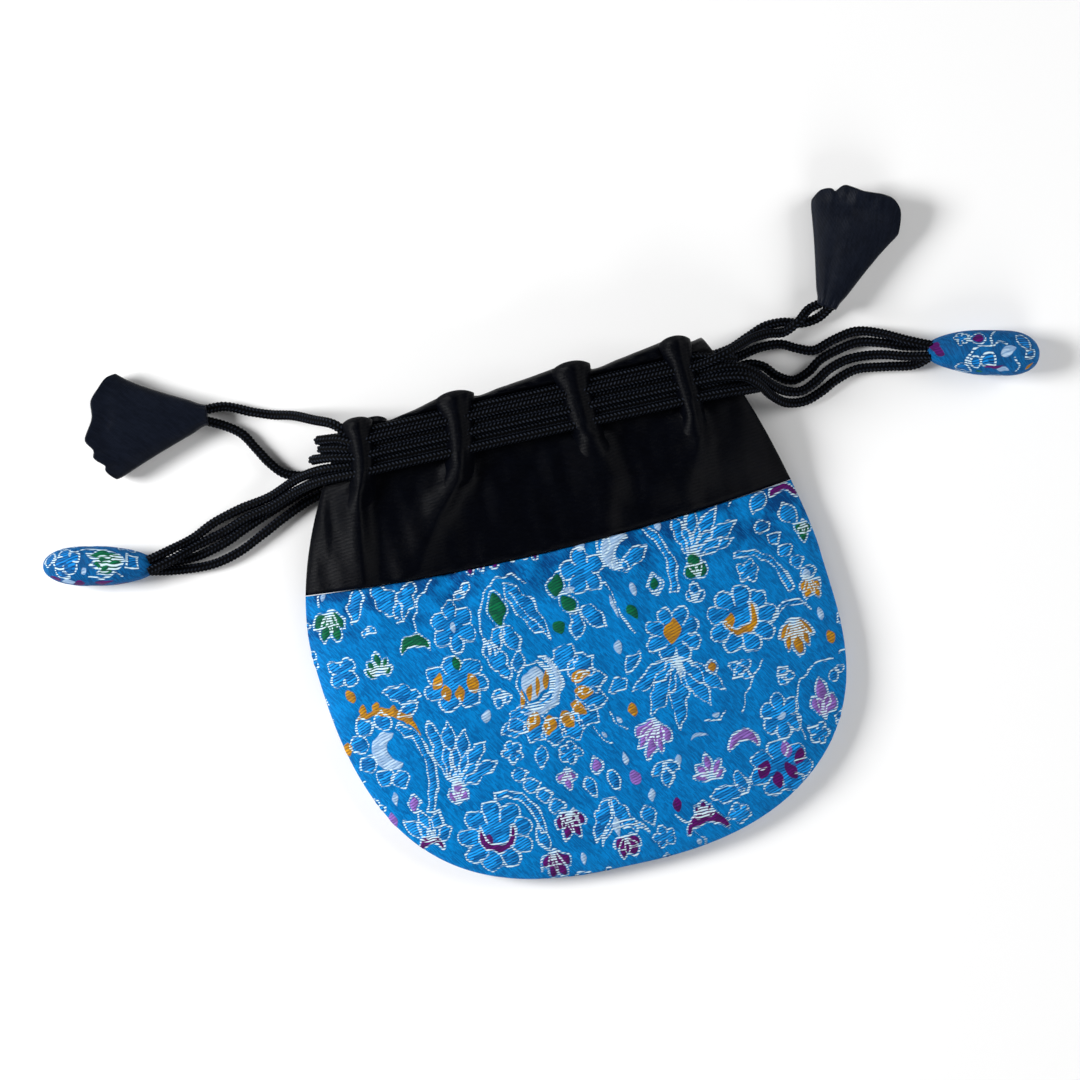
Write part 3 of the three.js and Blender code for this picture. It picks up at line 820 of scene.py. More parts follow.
@dataclass
class NodeBoard:
    """A node tree with short ways to add and join nodes."""

    tree: bpy.types.NodeTree

    def add(self, kind: str, **settings: object) -> bpy.types.Node:
        """Adds a node of a kind and sets its properties.

        Args:
            kind: The node's type.
            **settings: Its properties.

        Returns:
            The node.
        """
        node = self.tree.nodes.new(kind)
        for name, value in settings.items():
            setattr(node, name, value)
        return node

    def feed(self, socket: Socket, value: object) -> None:
        """Links a socket to another, or sets its value.

        Args:
            socket: The input.
            value: An output, a colour or a number.
        """
        if isinstance(value, bpy.types.NodeSocket):
            self.tree.links.new(value, socket)
        elif isinstance(value, tuple) and len(value) == 3 and socket.type == "RGBA":
            socket.default_value = (*value, 1.0)
        else:
            socket.default_value = value

    def math(self, operation: str, a: object, b: object = 0.0, c: object = 0.0) -> Socket:
        """Returns the result of an operation on numbers.

        Args:
            operation: The operation.
            a: The first value.
            b: The second value.
            c: The third value, where the operation has one.

        Returns:
            The result.
        """
        node = self.add("ShaderNodeMath", operation=operation)
        for socket, value in zip(node.inputs, (a, b, c)):
            self.feed(socket, value)
        return node.outputs[0]

    def rise(self, value: object, low: float, high: float) -> Socket:
        """Returns a smooth 0 to 1 as a value goes from low to high, or 1 to 0 if low is above.

        Args:
            value: The value.
            low: Where the rise starts.
            high: Where it ends.

        Returns:
            The risen value.
        """
        falling = low > high
        node = self.add("ShaderNodeMapRange", interpolation_type="SMOOTHSTEP")
        self.feed(node.inputs["Value"], value)
        node.inputs["From Min"].default_value = min(low, high)
        node.inputs["From Max"].default_value = max(low, high)
        node.inputs["To Min"].default_value = 1.0 if falling else 0.0
        node.inputs["To Max"].default_value = 0.0 if falling else 1.0
        return node.outputs["Result"]

    def blend(self, share: object, a: object, b: object) -> Socket:
        """Returns a colour between a and b.

        Args:
            share: From 0 for the first colour to 1 for the second.
            a: The first colour.
            b: The second colour.

        Returns:
            The colour.
        """
        node = self.add("ShaderNodeMix", data_type="RGBA")
        self.feed(node.inputs[0], share)
        self.feed(node.inputs[6], a)
        self.feed(node.inputs[7], b)
        return node.outputs[2]

    def noise(self, place: Socket, scale: float, detail: float = 2.0) -> Socket:
        """Returns soft random values of about 0.3 to 0.7.

        Args:
            place: The place on the cloth in mm.
            scale: Waves in one mm.
            detail: How many finer layers are added.

        Returns:
            The values.
        """
        node = self.add("ShaderNodeTexNoise")
        self.feed(node.inputs["Vector"], place)
        node.inputs["Scale"].default_value = scale
        node.inputs["Detail"].default_value = detail
        return node.outputs["Fac"]

    def scaled(self, place: Socket, x: float, y: float, z: float = 1.0) -> Socket:
        """Returns a place stretched along its axes.

        Args:
            place: The place.
            x: Factor along X.
            y: Factor along Y.
            z: Factor along Z.

        Returns:
            The place.
        """
        node = self.add("ShaderNodeVectorMath", operation="MULTIPLY")
        self.feed(node.inputs[0], place)
        node.inputs[1].default_value = (x, y, z)
        return node.outputs[0]

    def attribute(self, name: str) -> bpy.types.Node:
        """Returns the node that reads a mesh attribute."""
        return self.add("ShaderNodeAttribute", attribute_name=name)

    def cloth_place(self) -> Socket:
        """Returns the place on the cloth in mm, from the piece's own cloth map."""
        node = self.add("ShaderNodeUVMap", uv_map=CLOTH_MAP)
        return self.scaled(node.outputs["UV"], CLOTH_MAP_MM, CLOTH_MAP_MM, 0.0)


CLOTH_MAP = "cloth"
CLOTH_MAP_MM = 100.0


def twill_group() -> bpy.types.NodeTree:
    """Builds the fine slanted threads that satin and brocade share.

    Returns:
        A group that takes a place in mm, the threads' heading, pitch and length, and gives
        the height of the threads and a shade that changes from thread to thread.
    """
    tree = bpy.data.node_groups.new("fine_threads", "ShaderNodeTree")
    for name, kind in (("Place", "NodeSocketVector"), ("Heading", "NodeSocketFloat"),
                       ("Pitch", "NodeSocketFloat"), ("Length", "NodeSocketFloat")):
        tree.interface.new_socket(name, in_out="INPUT", socket_type=kind)
    for name in ("Height", "Shade"):
        tree.interface.new_socket(name, in_out="OUTPUT", socket_type="NodeSocketFloat")
    board = NodeBoard(tree)
    given = board.add("NodeGroupInput")
    result = board.add("NodeGroupOutput")
    turn = board.add("ShaderNodeVectorRotate", rotation_type="Z_AXIS")
    board.feed(turn.inputs["Vector"], given.outputs["Place"])
    board.feed(turn.inputs["Angle"], board.math("MULTIPLY", given.outputs["Heading"], -1.0))
    parts = board.add("ShaderNodeSeparateXYZ")
    board.feed(parts.inputs[0], turn.outputs[0])
    wander = board.noise(given.outputs["Place"], 0.22, 1.0)
    lane = board.math("DIVIDE", parts.outputs["Y"], given.outputs["Pitch"])
    lane = board.math("MULTIPLY_ADD", wander, 1.2, lane)
    lane_number = board.math("FLOOR", lane)
    chance = board.add("ShaderNodeTexWhiteNoise", noise_dimensions="1D")
    board.feed(chance.inputs["W"], lane_number)
    along = board.math("DIVIDE", parts.outputs["X"], given.outputs["Length"])
    along = board.math("MULTIPLY_ADD", chance.outputs["Value"], 7.0, along)
    across_crest = board.math("SINE", board.math("MULTIPLY", board.math("FRACT", lane), math.pi))
    along_crest = board.math("SINE", board.math("MULTIPLY", board.math("FRACT", along), math.pi))
    along_crest = board.math("POWER", board.math("MAXIMUM", along_crest, 0.20), 0.15)
    board.feed(result.inputs["Height"], board.math("MULTIPLY", across_crest, along_crest))
    spot = board.add("ShaderNodeCombineXYZ")
    board.feed(spot.inputs["X"], board.math("FLOOR", along))
    board.feed(spot.inputs["Y"], lane_number)
    shade = board.add("ShaderNodeTexWhiteNoise", noise_dimensions="2D")
    board.feed(shade.inputs["Vector"], spot.outputs[0])
    board.feed(result.inputs["Shade"], shade.outputs["Value"])
    return tree


def threads(board: NodeBoard, place: Socket, heading: float, pitch: float,
            length: float) -> tuple[Socket, Socket]:
    """Places the fine threads in a material, and returns their height and shade.

    Args:
        board: The material's node board.
        place: The place on the cloth in mm.
        heading: Where the threads run, in degrees.
        pitch: Distance between threads in mm.
        length: Length of a float in mm.

    Returns:
        The height and the shade.
    """
    group = bpy.data.node_groups.get("fine_threads") or twill_group()
    node = board.add("ShaderNodeGroup", node_tree=group)
    board.feed(node.inputs["Place"], place)
    for name, value in (("Heading", math.radians(heading)), ("Pitch", pitch), ("Length", length)):
        node.inputs[name].default_value = value
    return node.outputs["Height"], node.outputs["Shade"]


@dataclass(frozen=True)
class Finish:
    """What every cloth material of the pouch has: a name and its shader's constants."""

    name: str
    specular: float
    relief: float

    def start(self) -> tuple[bpy.types.Material, NodeBoard, bpy.types.Node]:
        """Makes a material and returns it with its board and its shader.

        Returns:
            The material, its board and its shader.
        """
        material = bpy.data.materials.new(self.name)
        material.use_nodes = True
        board = NodeBoard(material.node_tree)
        shader = material.node_tree.nodes["Principled BSDF"]
        shader.inputs["Specular IOR Level"].default_value = self.specular
        return material, board, shader

    def dress(self, board: NodeBoard, shader: bpy.types.Node, colour: Socket, roughness: Socket,
              height: Socket) -> None:
        """Feeds the shader its colour, roughness and relief.

        Args:
            board: The material's node board.
            shader: The shader.
            colour: Its colour.
            roughness: Its roughness.
            height: Its relief, from 0 to 1.
        """
        board.feed(shader.inputs["Base Color"], colour)
        board.feed(shader.inputs["Roughness"], roughness)
        bump = board.add("ShaderNodeBump")
        bump.inputs["Strength"].default_value = 1.0
        bump.inputs["Distance"].default_value = self.relief * MM
        board.feed(bump.inputs["Height"], height)
        board.feed(shader.inputs["Normal"], bump.outputs["Normal"])


@dataclass(frozen=True)
class BrocadeFinish(Finish):
    """Figured silk: a slanted ground, rows of blue and coloured floats, pale stitched outlines."""

    # The deep colours fill the gaps between threads and the light ones their crests, so besides the silk's
    # colours they carry painted shade and painted highlight.
    ground: Colour = (0.0004, 0.235, 0.640)
    ground_deep: Colour = (0.0002, 0.048, 0.190)
    floats: Colour = (0.0110, 0.350, 0.900)
    floats_deep: Colour = (0.0003, 0.016, 0.120)
    stitch: Colour = (0.620, 0.800, 0.900)
    pale: Colour = (0.460, 0.620, 0.790)
    pale_deep: Colour = (0.130, 0.260, 0.480)
    row_pitch: float = 0.58
    outline_half: float = 0.24

    def build(self) -> bpy.types.Material:
        """Makes the material.

        Returns:
            The material.
        """
        material, board, shader = self.start()
        place = board.cloth_place()
        parts = board.add("ShaderNodeSeparateXYZ")
        board.feed(parts.inputs[0], place)
        wander = board.noise(place, 0.35, 1.0)
        lane = board.math("DIVIDE", parts.outputs["Y"], self.row_pitch)
        lane = board.math("MULTIPLY_ADD", wander, 1.6, lane)
        crest = board.math("SINE", board.math("MULTIPLY", board.math("FRACT", lane), math.pi))
        jitter = board.add("ShaderNodeTexWhiteNoise", noise_dimensions="1D")
        board.feed(jitter.inputs["W"], board.math("FLOOR", lane))
        gap = board.attribute("outline_mm").outputs["Fac"]
        gap = board.math("MULTIPLY_ADD", jitter.outputs["Value"], 0.14, gap)
        line = board.rise(gap, self.outline_half + 0.10, self.outline_half - 0.02)
        dash = board.math("MULTIPLY", line, board.rise(crest, 0.42, 0.72))
        filament = board.noise(board.scaled(place, 0.5, 9.0), 1.0, 2.0)
        yarn_height, yarn_shade = threads(board, place, 18.0, 0.62, 2.8)
        # The floats, pale fills and accents run from their deep colour in the gaps between yarns to their
        # light colour on the yarn and row crests: random tone from thread to thread, plus painted shade in
        # the gaps and painted highlight on the crests.
        row_tone = board.math("MULTIPLY_ADD", yarn_shade, 0.75, board.math("MULTIPLY", filament, 0.35))
        row_tone = board.math("MULTIPLY", row_tone, board.rise(yarn_height, 0.10, 0.85))
        row_tone = board.math("MULTIPLY_ADD", crest, 0.22, row_tone)
        # The ground is lighter on its twill thread crests: painted highlight, on top of random tone from
        # thread to thread.
        ground_height, ground_shade = threads(board, place, -58.0, 0.21, 1.1)
        broad = board.noise(place, 0.16, 2.0)
        ground_tone = board.math("MULTIPLY_ADD", ground_shade, 0.55,
                                 board.math("MULTIPLY", ground_height, 0.4))
        ground_tone = board.math("MULTIPLY_ADD", board.rise(broad, 0.3, 0.7), 0.16, ground_tone)
        # Painted shade: towards the satin seam (cloth y 2 to 17 mm) the ground is darkened in patches, the
        # shade of the puckered cloth there.
        gathered = board.math("MULTIPLY", board.rise(parts.outputs["Y"], 2.0, 17.0),
                              board.rise(broad, 0.62, 0.40))
        ground_tone = board.math("MULTIPLY_ADD", gathered, -0.55, ground_tone)
        colour = board.blend(ground_tone, self.ground_deep, self.ground)
        float_mask = board.rise(board.attribute("float_mm").outputs["Fac"], -0.10, 0.12)
        pale_mask = board.rise(board.attribute("pale_mm").outputs["Fac"], -0.10, 0.12)
        accent_mask = board.rise(board.attribute("accent_mm").outputs["Fac"], -0.10, 0.12)
        colour = board.blend(float_mask, colour, board.blend(row_tone, self.floats_deep, self.floats))
        colour = board.blend(pale_mask, colour, board.blend(row_tone, self.pale_deep, self.pale))
        tone = board.attribute("tone").outputs["Color"]
        accent = board.blend(row_tone, board.blend(0.72, tone, (0.004, 0.01, 0.03)), tone)
        colour = board.blend(accent_mask, colour, accent)
        colour = board.blend(dash, colour, self.stitch)
        figures = board.math("MAXIMUM", board.math("MAXIMUM", float_mask, pale_mask), accent_mask)
        raised = board.math("MULTIPLY_ADD", yarn_height, 0.35, board.math("MULTIPLY", crest, 0.4))
        raised = board.math("MULTIPLY", figures, raised)
        height = board.math("MAXIMUM", board.math("MULTIPLY", ground_height, 0.22), raised)
        height = board.math("MAXIMUM", height, board.math("MULTIPLY", dash, 1.0))
        roughness = board.math("MULTIPLY_ADD", figures, -0.16, 0.52)
        roughness = board.math("MULTIPLY_ADD", filament, 0.16, roughness)
        self.dress(board, shader, colour, roughness, height)
        return material


@dataclass(frozen=True)
class SatinFinish(Finish):
    """Near black satin with fine slanted ticks of thread."""

    # lit is the painted highlight colour of the tick crests, deep the colour between them.
    deep: Colour = (0.0002, 0.0002, 0.0005)
    lit: Colour = (0.0011, 0.0016, 0.0036)
    heading: float = -20.0
    pitch: float = 0.30
    length: float = 1.9

    def build(self) -> bpy.types.Material:
        """Makes the material.

        Returns:
            The material.
        """
        material, board, shader = self.start()
        place = board.cloth_place()
        height, shade = threads(board, place, self.heading, self.pitch, self.length)
        broad = board.noise(place, 0.22, 3.0)
        # The satin goes to its lit colour on the crests of the ticks: painted highlight, with random tone
        # from tick to tick and in broad patches.
        tone = board.math("MULTIPLY_ADD", shade, 0.25, board.math("MULTIPLY", broad, 0.4))
        tone = board.math("MULTIPLY_ADD", height, 0.5, tone)
        colour = board.blend(tone, self.deep, self.lit)
        roughness = board.math("MULTIPLY_ADD", shade, 0.05, 0.27)
        roughness = board.math("MULTIPLY_ADD", broad, 0.06, roughness)
        self.dress(board, shader, colour, roughness, height)
        return material


@dataclass(frozen=True)
class BraidFinish(Finish):
    """Dull black plaited yarn."""

    deep: Colour = (0.0003, 0.0003, 0.0005)
    lit: Colour = (0.0260, 0.0330, 0.0500)

    def build(self) -> bpy.types.Material:
        """Makes the material.

        Returns:
            The material.
        """
        material, board, shader = self.start()
        place = board.cloth_place()
        height, shade = threads(board, place, 62.0, 0.16, 1.2)
        grain = board.rise(board.attribute("grain").outputs["Fac"], 0.50, 0.90)
        # The braid takes its lit colour on the raised grains and its deep colour in the grooves between
        # them: painted highlight and painted shade of the plait's relief.
        colour = board.blend(board.math("MULTIPLY", grain, board.math("MULTIPLY_ADD", shade, 0.5, 0.5)),
                             self.deep, self.lit)
        roughness = board.math("MULTIPLY_ADD", shade, 0.25, 0.42)
        self.dress(board, shader, colour, roughness, height)
        return material


# Meshes ---------------------------------------------------------------------------------------------


def make_piece(name: str, points: Array, faces: list[Sequence[int]], cloth: Array,
               material: bpy.types.Material,
               attributes: dict[str, Array] | None = None) -> bpy.types.Object:
    """Makes one smooth piece that rides on the pouch.

    Args:
        name: The piece's name.
        points: Its points in mm.
        faces: Its faces, as rows of point numbers.
        cloth: Each point's place on the cloth in mm.
        material: Its finish.
        attributes: Values kept on its points, one number or one colour each.

    Returns:
        The object.
    """
    mesh = bpy.data.meshes.new(name)
    mesh.from_pydata((points * MM).tolist(), [], faces)
    corners = np.empty(len(mesh.loops), dtype=np.int32)
    mesh.loops.foreach_get("vertex_index", corners)
    layer = mesh.uv_layers.new(name=CLOTH_MAP)
    layer.uv.foreach_set("vector", (cloth[corners] / CLOTH_MAP_MM).astype(np.float32).ravel())
    for key, values in (attributes or {}).items():
        if values.ndim == 1:
            kept = mesh.attributes.new(key, "FLOAT", "POINT")
            kept.data.foreach_set("value", values.astype(np.float32))
        else:
            kept = mesh.attributes.new(key, "FLOAT_COLOR", "POINT")
            filled = np.column_stack([values, np.ones(len(values))]).astype(np.float32)
            kept.data.foreach_set("color", filled.ravel())
    mesh.polygons.foreach_set("use_smooth", [True] * len(mesh.polygons))
    mesh.materials.append(material)
    mesh.update()
    piece = bpy.data.objects.new(name, mesh)
    bpy.context.scene.collection.objects.link(piece)
    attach(piece, ROOT)
    log.info("%s: %d faces", name, len(mesh.polygons))
    return piece


def grid_faces(rows: int, columns: int, start: int = 0,
               round_about: bool = False) -> list[tuple[int, ...]]:
    """Numbers the faces of a grid of points, joined into a tube if it goes round about.

    Args:
        rows: How many rows of points.
        columns: How many points in a row.
        start: The number of the first point.
        round_about: Whether the last column joins the first.

    Returns:
        The faces.
    """
    faces = []
    last = columns if round_about else columns - 1
    for r in range(rows - 1):
        base = start + r * columns
        for c in range(last):
            n = (c + 1) % columns
            faces.append((base + c, base + n, base + columns + n, base + columns + c))
    return faces


def grid_normals(grid: Array) -> Array:
    """Returns the unit normals of a grid of points, upwards where rows run along +Y.

    Args:
        grid: Rows of points.

    Returns:
        A normal for each point.
    """
    along_row = np.gradient(grid, axis=1)
    along_column = np.gradient(grid, axis=0)
    normal = np.cross(along_row, along_column)
    return normal / np.maximum(np.linalg.norm(normal, axis=2, keepdims=True), 1e-9)


def grid_border(rows: int, columns: int) -> list[int]:
    """Returns the point numbers round a grid, anticlockwise.

    Args:
        rows: How many rows of points.
        columns: How many points in a row.

    Returns:
        The point numbers.
    """
    bottom = list(range(columns - 1))
    right = [r * columns + columns - 1 for r in range(rows - 1)]
    top = [(rows - 1) * columns + c for c in range(columns - 1, 0, -1)]
    left = [r * columns for r in range(rows - 1, 0, -1)]
    return bottom + right + top + left


@dataclass
class ClothSheet:
    """A closed sheet of cloth: a fine outer grid, a coarse inner one and the cut edge between."""

    outer: Array
    inner: Array
    step: int = 4
    underside: bool = False

    def mesh_parts(self) -> tuple[Array, list[Sequence[int]]]:
        """Returns the sheet's points and faces.

        Returns:
            The points, and the faces as rows of point numbers.
        """
        rows, columns = self.outer.shape[:2]
        lining = self.inner[:: self.step, :: self.step]
        lining_rows, lining_columns = lining.shape[:2]
        start = rows * columns
        points = np.vstack([self.outer.reshape(-1, 3), lining.reshape(-1, 3)])
        faces: list[Sequence[int]] = list(grid_faces(rows, columns))
        faces += [face[::-1] for face in grid_faces(lining_rows, lining_columns, start)]
        out = grid_border(rows, columns)
        inn = [start + i for i in grid_border(lining_rows, lining_columns)]
        for i in range(len(inn)):
            run = [out[(i * self.step + k) % len(out)] for k in range(self.step, -1, -1)]
            faces.append((*run, inn[i], inn[(i + 1) % len(inn)]))
        if self.underside:
            faces = [face[::-1] for face in faces]
        return points, faces


class Face(Enum):
    """Which side of the bag a piece is on."""

    FRONT = "front"
    BACK = "back"


@dataclass
class BrocadePanel:
    """One brocade half of the bag, from the round bottom to the satin seam."""

    form: BagForm
    face: Face
    design: Design
    material: bpy.types.Material
    columns: int
    row_step: float
    first_half_width: float = 6.0
    widening_step: float = 0.9
    seam_room: float = 0.12
    seam_roll: float = 0.5
    relief: float = 0.16
    pucker: float = 0.60
    swell: float = 0.30

    def row_stations(self) -> Array:
        """Returns the y of each row, closer together where the bag widens quickly.

        Returns:
            The rows in mm, from the bottom up.
        """
        form = self.form
        y = np.linspace(form.body_centre_y - form.body_depth, form.seam_middle_y, 40001)
        y = y[form.half_width(y) > self.first_half_width]
        widening = np.abs(np.gradient(form.half_width(y), y))
        density = np.maximum(1.0 / self.row_step, widening / self.widening_step)
        count = np.concatenate([[0.0], np.cumsum((density[1:] + density[:-1]) / 2 * np.diff(y))])
        rows = int(math.ceil(count[-1] / 4)) * 4
        return np.interp(np.linspace(0, count[-1], rows + 1), count, y)

    def build(self) -> bpy.types.Object:
        """Makes the panel.

        Returns:
            The panel.
        """
        form = self.form
        across_line = np.linspace(-1, 1, self.columns)
        across_line *= 1 + 0.12 * (1 - across_line**2)
        across, y = np.meshgrid(across_line, self.row_stations())
        x = form.lean(y) + across * form.half_width(y)
        y = y + (form.seam_y(x) - self.seam_room - form.seam_middle_y) * ramp(y, -10, form.seam_middle_y)
        x = form.lean(y) + across * form.half_width(y)
        rho = form.rim_radius(across, y)
        flat = 1 - rho**8
        below_seam = form.seam_y(x) - y
        roll = self.seam_roll * np.clip(1 - below_seam / 1.3, 0, 1) ** 2
        puckers = np.exp(-below_seam / 5.5) * ripple(x, y * 0.25, 7.0, 3)
        waves = self.swell * ripple(x, y, 17.0, 5) + self.pucker * puckers
        rim_pleats = 0.22 * ramp(rho, 0.72, 0.95) * ripple(x, y, 5.5, 8)
        edge = np.maximum(np.sqrt(np.clip(1 - rho**16, 0, 1)), 0.14)
        front = self.face is Face.FRONT
        if front:
            low = form.front_z(across, y)
            z = low + form.cloth * edge + (waves + rim_pleats) * flat - roll
            lining_z = np.minimum(low, z - 0.12)
        else:
            low = form.back_z(across, y)
            z = low + form.cloth * (1 - edge) + np.maximum(waves + rim_pleats, 0) * flat + roll
            lining_z = np.maximum(low + form.cloth, z + 0.12)
        outer = np.dstack([x, y, z])
        cloth_x = x if front else -x - BACK_CUT_ACROSS
        cloth_y = y if front else y - BACK_CUT_DOWN
        fields, tones = self.design.lay_on(cloth_x.ravel(), cloth_y.ravel())
        raised = np.zeros(x.size)
        for layer, share in ((Layer.FLOAT, 1.0), (Layer.ACCENT, 1.15), (Layer.PALE, 1.05)):
            raised = np.maximum(raised, share * ramp(fields[layer], -0.1, 0.7))
        raised -= 0.5 * ramp(-fields[Layer.OUTLINE], -0.75, -0.2)
        outwards = 1 if front else -1
        outer += grid_normals(outer) * outwards * (raised * self.relief).reshape(x.shape + (1,))
        inner = np.dstack([x, y, lining_z])
        sheet = ClothSheet(outer, inner, underside=not front)
        points, faces = sheet.mesh_parts()
        spare = len(points) - x.size
        cloth = np.column_stack([cloth_x.ravel(), cloth_y.ravel()])
        lining_cloth = np.column_stack([x[::4, ::4].ravel(), y[::4, ::4].ravel()])
        attributes = {}
        for layer, values in fields.items():
            away = 3.0 if layer is Layer.OUTLINE else -3.0
            attributes[layer.value] = np.concatenate([values, np.full(spare, away)])
        attributes["tone"] = np.vstack([tones, np.tile(tones[:1], (spare, 1))])
        name = f"{self.face.value}_brocade"
        piece = make_piece(name, points, faces, np.vstack([cloth, lining_cloth]), self.material,
                           attributes)
        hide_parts(f"{self.face.value}_brocade_panel")
        return piece


@dataclass(frozen=True)
class Fold:
    """A soft fold that runs down the satin from the mouth."""

    path: tuple[Point, ...]
    height: float
    width: float
    steep_side: float = 0.6
    foot: float = 0.15

    def lift(self, x: Array, y: Array) -> Array:
        """Returns how far the fold lifts the cloth.

        Args:
            x: Across positions in mm.
            y: Along positions in mm.

        Returns:
            Heights in mm.
        """
        ys = np.array([p[1] for p in self.path])
        xs = np.array([p[0] for p in self.path])
        centre = np.interp(y, ys[::-1], xs[::-1])
        share = np.clip((y - ys[-1]) / (ys[0] - ys[-1]), 0.0, 1.0)
        off = (x - centre) / (self.width * (1.5 - 0.85 * share))
        off = np.where(off > 0, off / self.steep_side, off)
        return self.height * mix(self.foot, 1.0, share) * np.exp(-(np.abs(off) ** 1.7))


@dataclass
class SatinBand:
    """One satin half of the bag's top, with its folds and the hem above the cords."""

    form: BagForm
    face: Face
    folds: tuple[Fold, ...]
    top_line: tuple[Point, ...]
    material: bpy.types.Material
    columns: int
    rows: int
    cords_low_y: float = 40.2
    cords_high_y: float = 51.3
    seam_room: float = 0.10
    hem_height: float = 1.9
    rest_height: float = 0.06

    def base_z(self, across: Array, y: Array) -> Array:
        """Returns the height of the band's outside before it is draped.

        Args:
            across: Places from -1 at the left rim to 1 at the right.
            y: Along positions in mm.

        Returns:
            Heights in mm.
        """
        edge = np.maximum(np.sqrt(np.clip(1 - self.form.rim_radius(across, y) ** 16, 0, 1)), 0.14)
        if self.face is Face.FRONT:
            return self.form.front_z(across, y) + self.form.cloth * edge
        return self.form.back_z(across, y) + self.form.cloth * (1 - edge)

    def top_y(self, x: Array) -> Array:
        """Returns the y of the scalloped edge at x.

        Args:
            x: Across positions in mm.

        Returns:
            Positions in mm.
        """
        line = smooth_route(self.top_line, 0.4)
        order = np.argsort(line[:, 0])
        return np.interp(x, line[order, 0], line[order, 1])

    def drape(self, across: Array, x: Array, y: Array) -> Array:
        """Returns how far folds, hem and small creases lift the cloth off its base.

        Args:
            across: Places from -1 at the left rim to 1 at the right.
            x: Across positions in mm.
            y: Along positions in mm.

        Returns:
            Heights in mm.
        """
        under_cords = ramp(y, self.cords_low_y - 2.6, self.cords_low_y + 0.8)
        total = np.zeros_like(x)
        for fold in self.folds:
            total = np.maximum(total, fold.lift(x, y))
        total *= 1 - 0.88 * under_cords
        above_seam = y - self.form.seam_y(x)
        total += 0.30 * ripple(x, y * 0.45, 9.0, 21) * ramp(above_seam, 0, 6) * (1 - under_cords)
        total += 0.16 * ripple(x, y * 0.3, 4.2, 22) * (1 - under_cords)
        hem = ramp(y, self.cords_high_y - 0.5, self.cords_high_y + 1.0)
        total += hem * (self.hem_height + 0.35 * ripple(x, y, 6.0, 24))
        return np.maximum(total, -0.35) * (1 - np.abs(across) ** 10)

    def surface_z(self, across: Array, x: Array, y: Array) -> Array:
        """Returns the height of the draped cloth."""
        way = 1 if self.face is Face.FRONT else -1
        return np.maximum(self.base_z(across, y) + way * self.drape(across, x, y), self.rest_height)

    def build(self) -> bpy.types.Object:
        """Makes the band.

        Returns:
            The band.
        """
        form = self.form
        across_line = np.linspace(-1, 1, self.columns)
        across_line *= 1 + 0.10 * (1 - across_line**2)
        across, share = np.meshgrid(across_line, np.linspace(0, 1, self.rows) ** 0.92)
        x = form.lean(np.full_like(across, 18.0)) + across * form.half_width(np.full_like(across, 18.0))
        for _ in range(3):
            y = mix(form.seam_y(x) + self.seam_room, self.top_y(x), share)
            x = form.lean(y) + across * form.half_width(y)
        above_seam = y - form.seam_y(x)
        roll = 0.5 * np.clip(1 - above_seam / 1.1, 0, 1) ** 2
        below_top = self.top_y(x) - y
        turn_in = 1.9 * np.clip(1 - below_top / 1.3, 0, 1) ** 2.2
        front = self.face is Face.FRONT
        z = self.surface_z(across, x, y) + (-1 if front else 1) * (roll + turn_in)
        low = form.front_z(across, y) if front else form.back_z(across, y) + form.cloth
        lining_z = np.minimum(low, z - 0.12) if front else np.maximum(low, z + 0.12)
        outer = np.dstack([x, y, z])
        sheet = ClothSheet(outer, np.dstack([x, y, lining_z]), underside=not front)
        points, faces = sheet.mesh_parts()
        cloth = points[:, :2].copy()
        piece = make_piece(f"{self.face.value}_satin", points, faces, cloth, self.material)
        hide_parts(f"{self.face.value}_satin_band")
        return piece


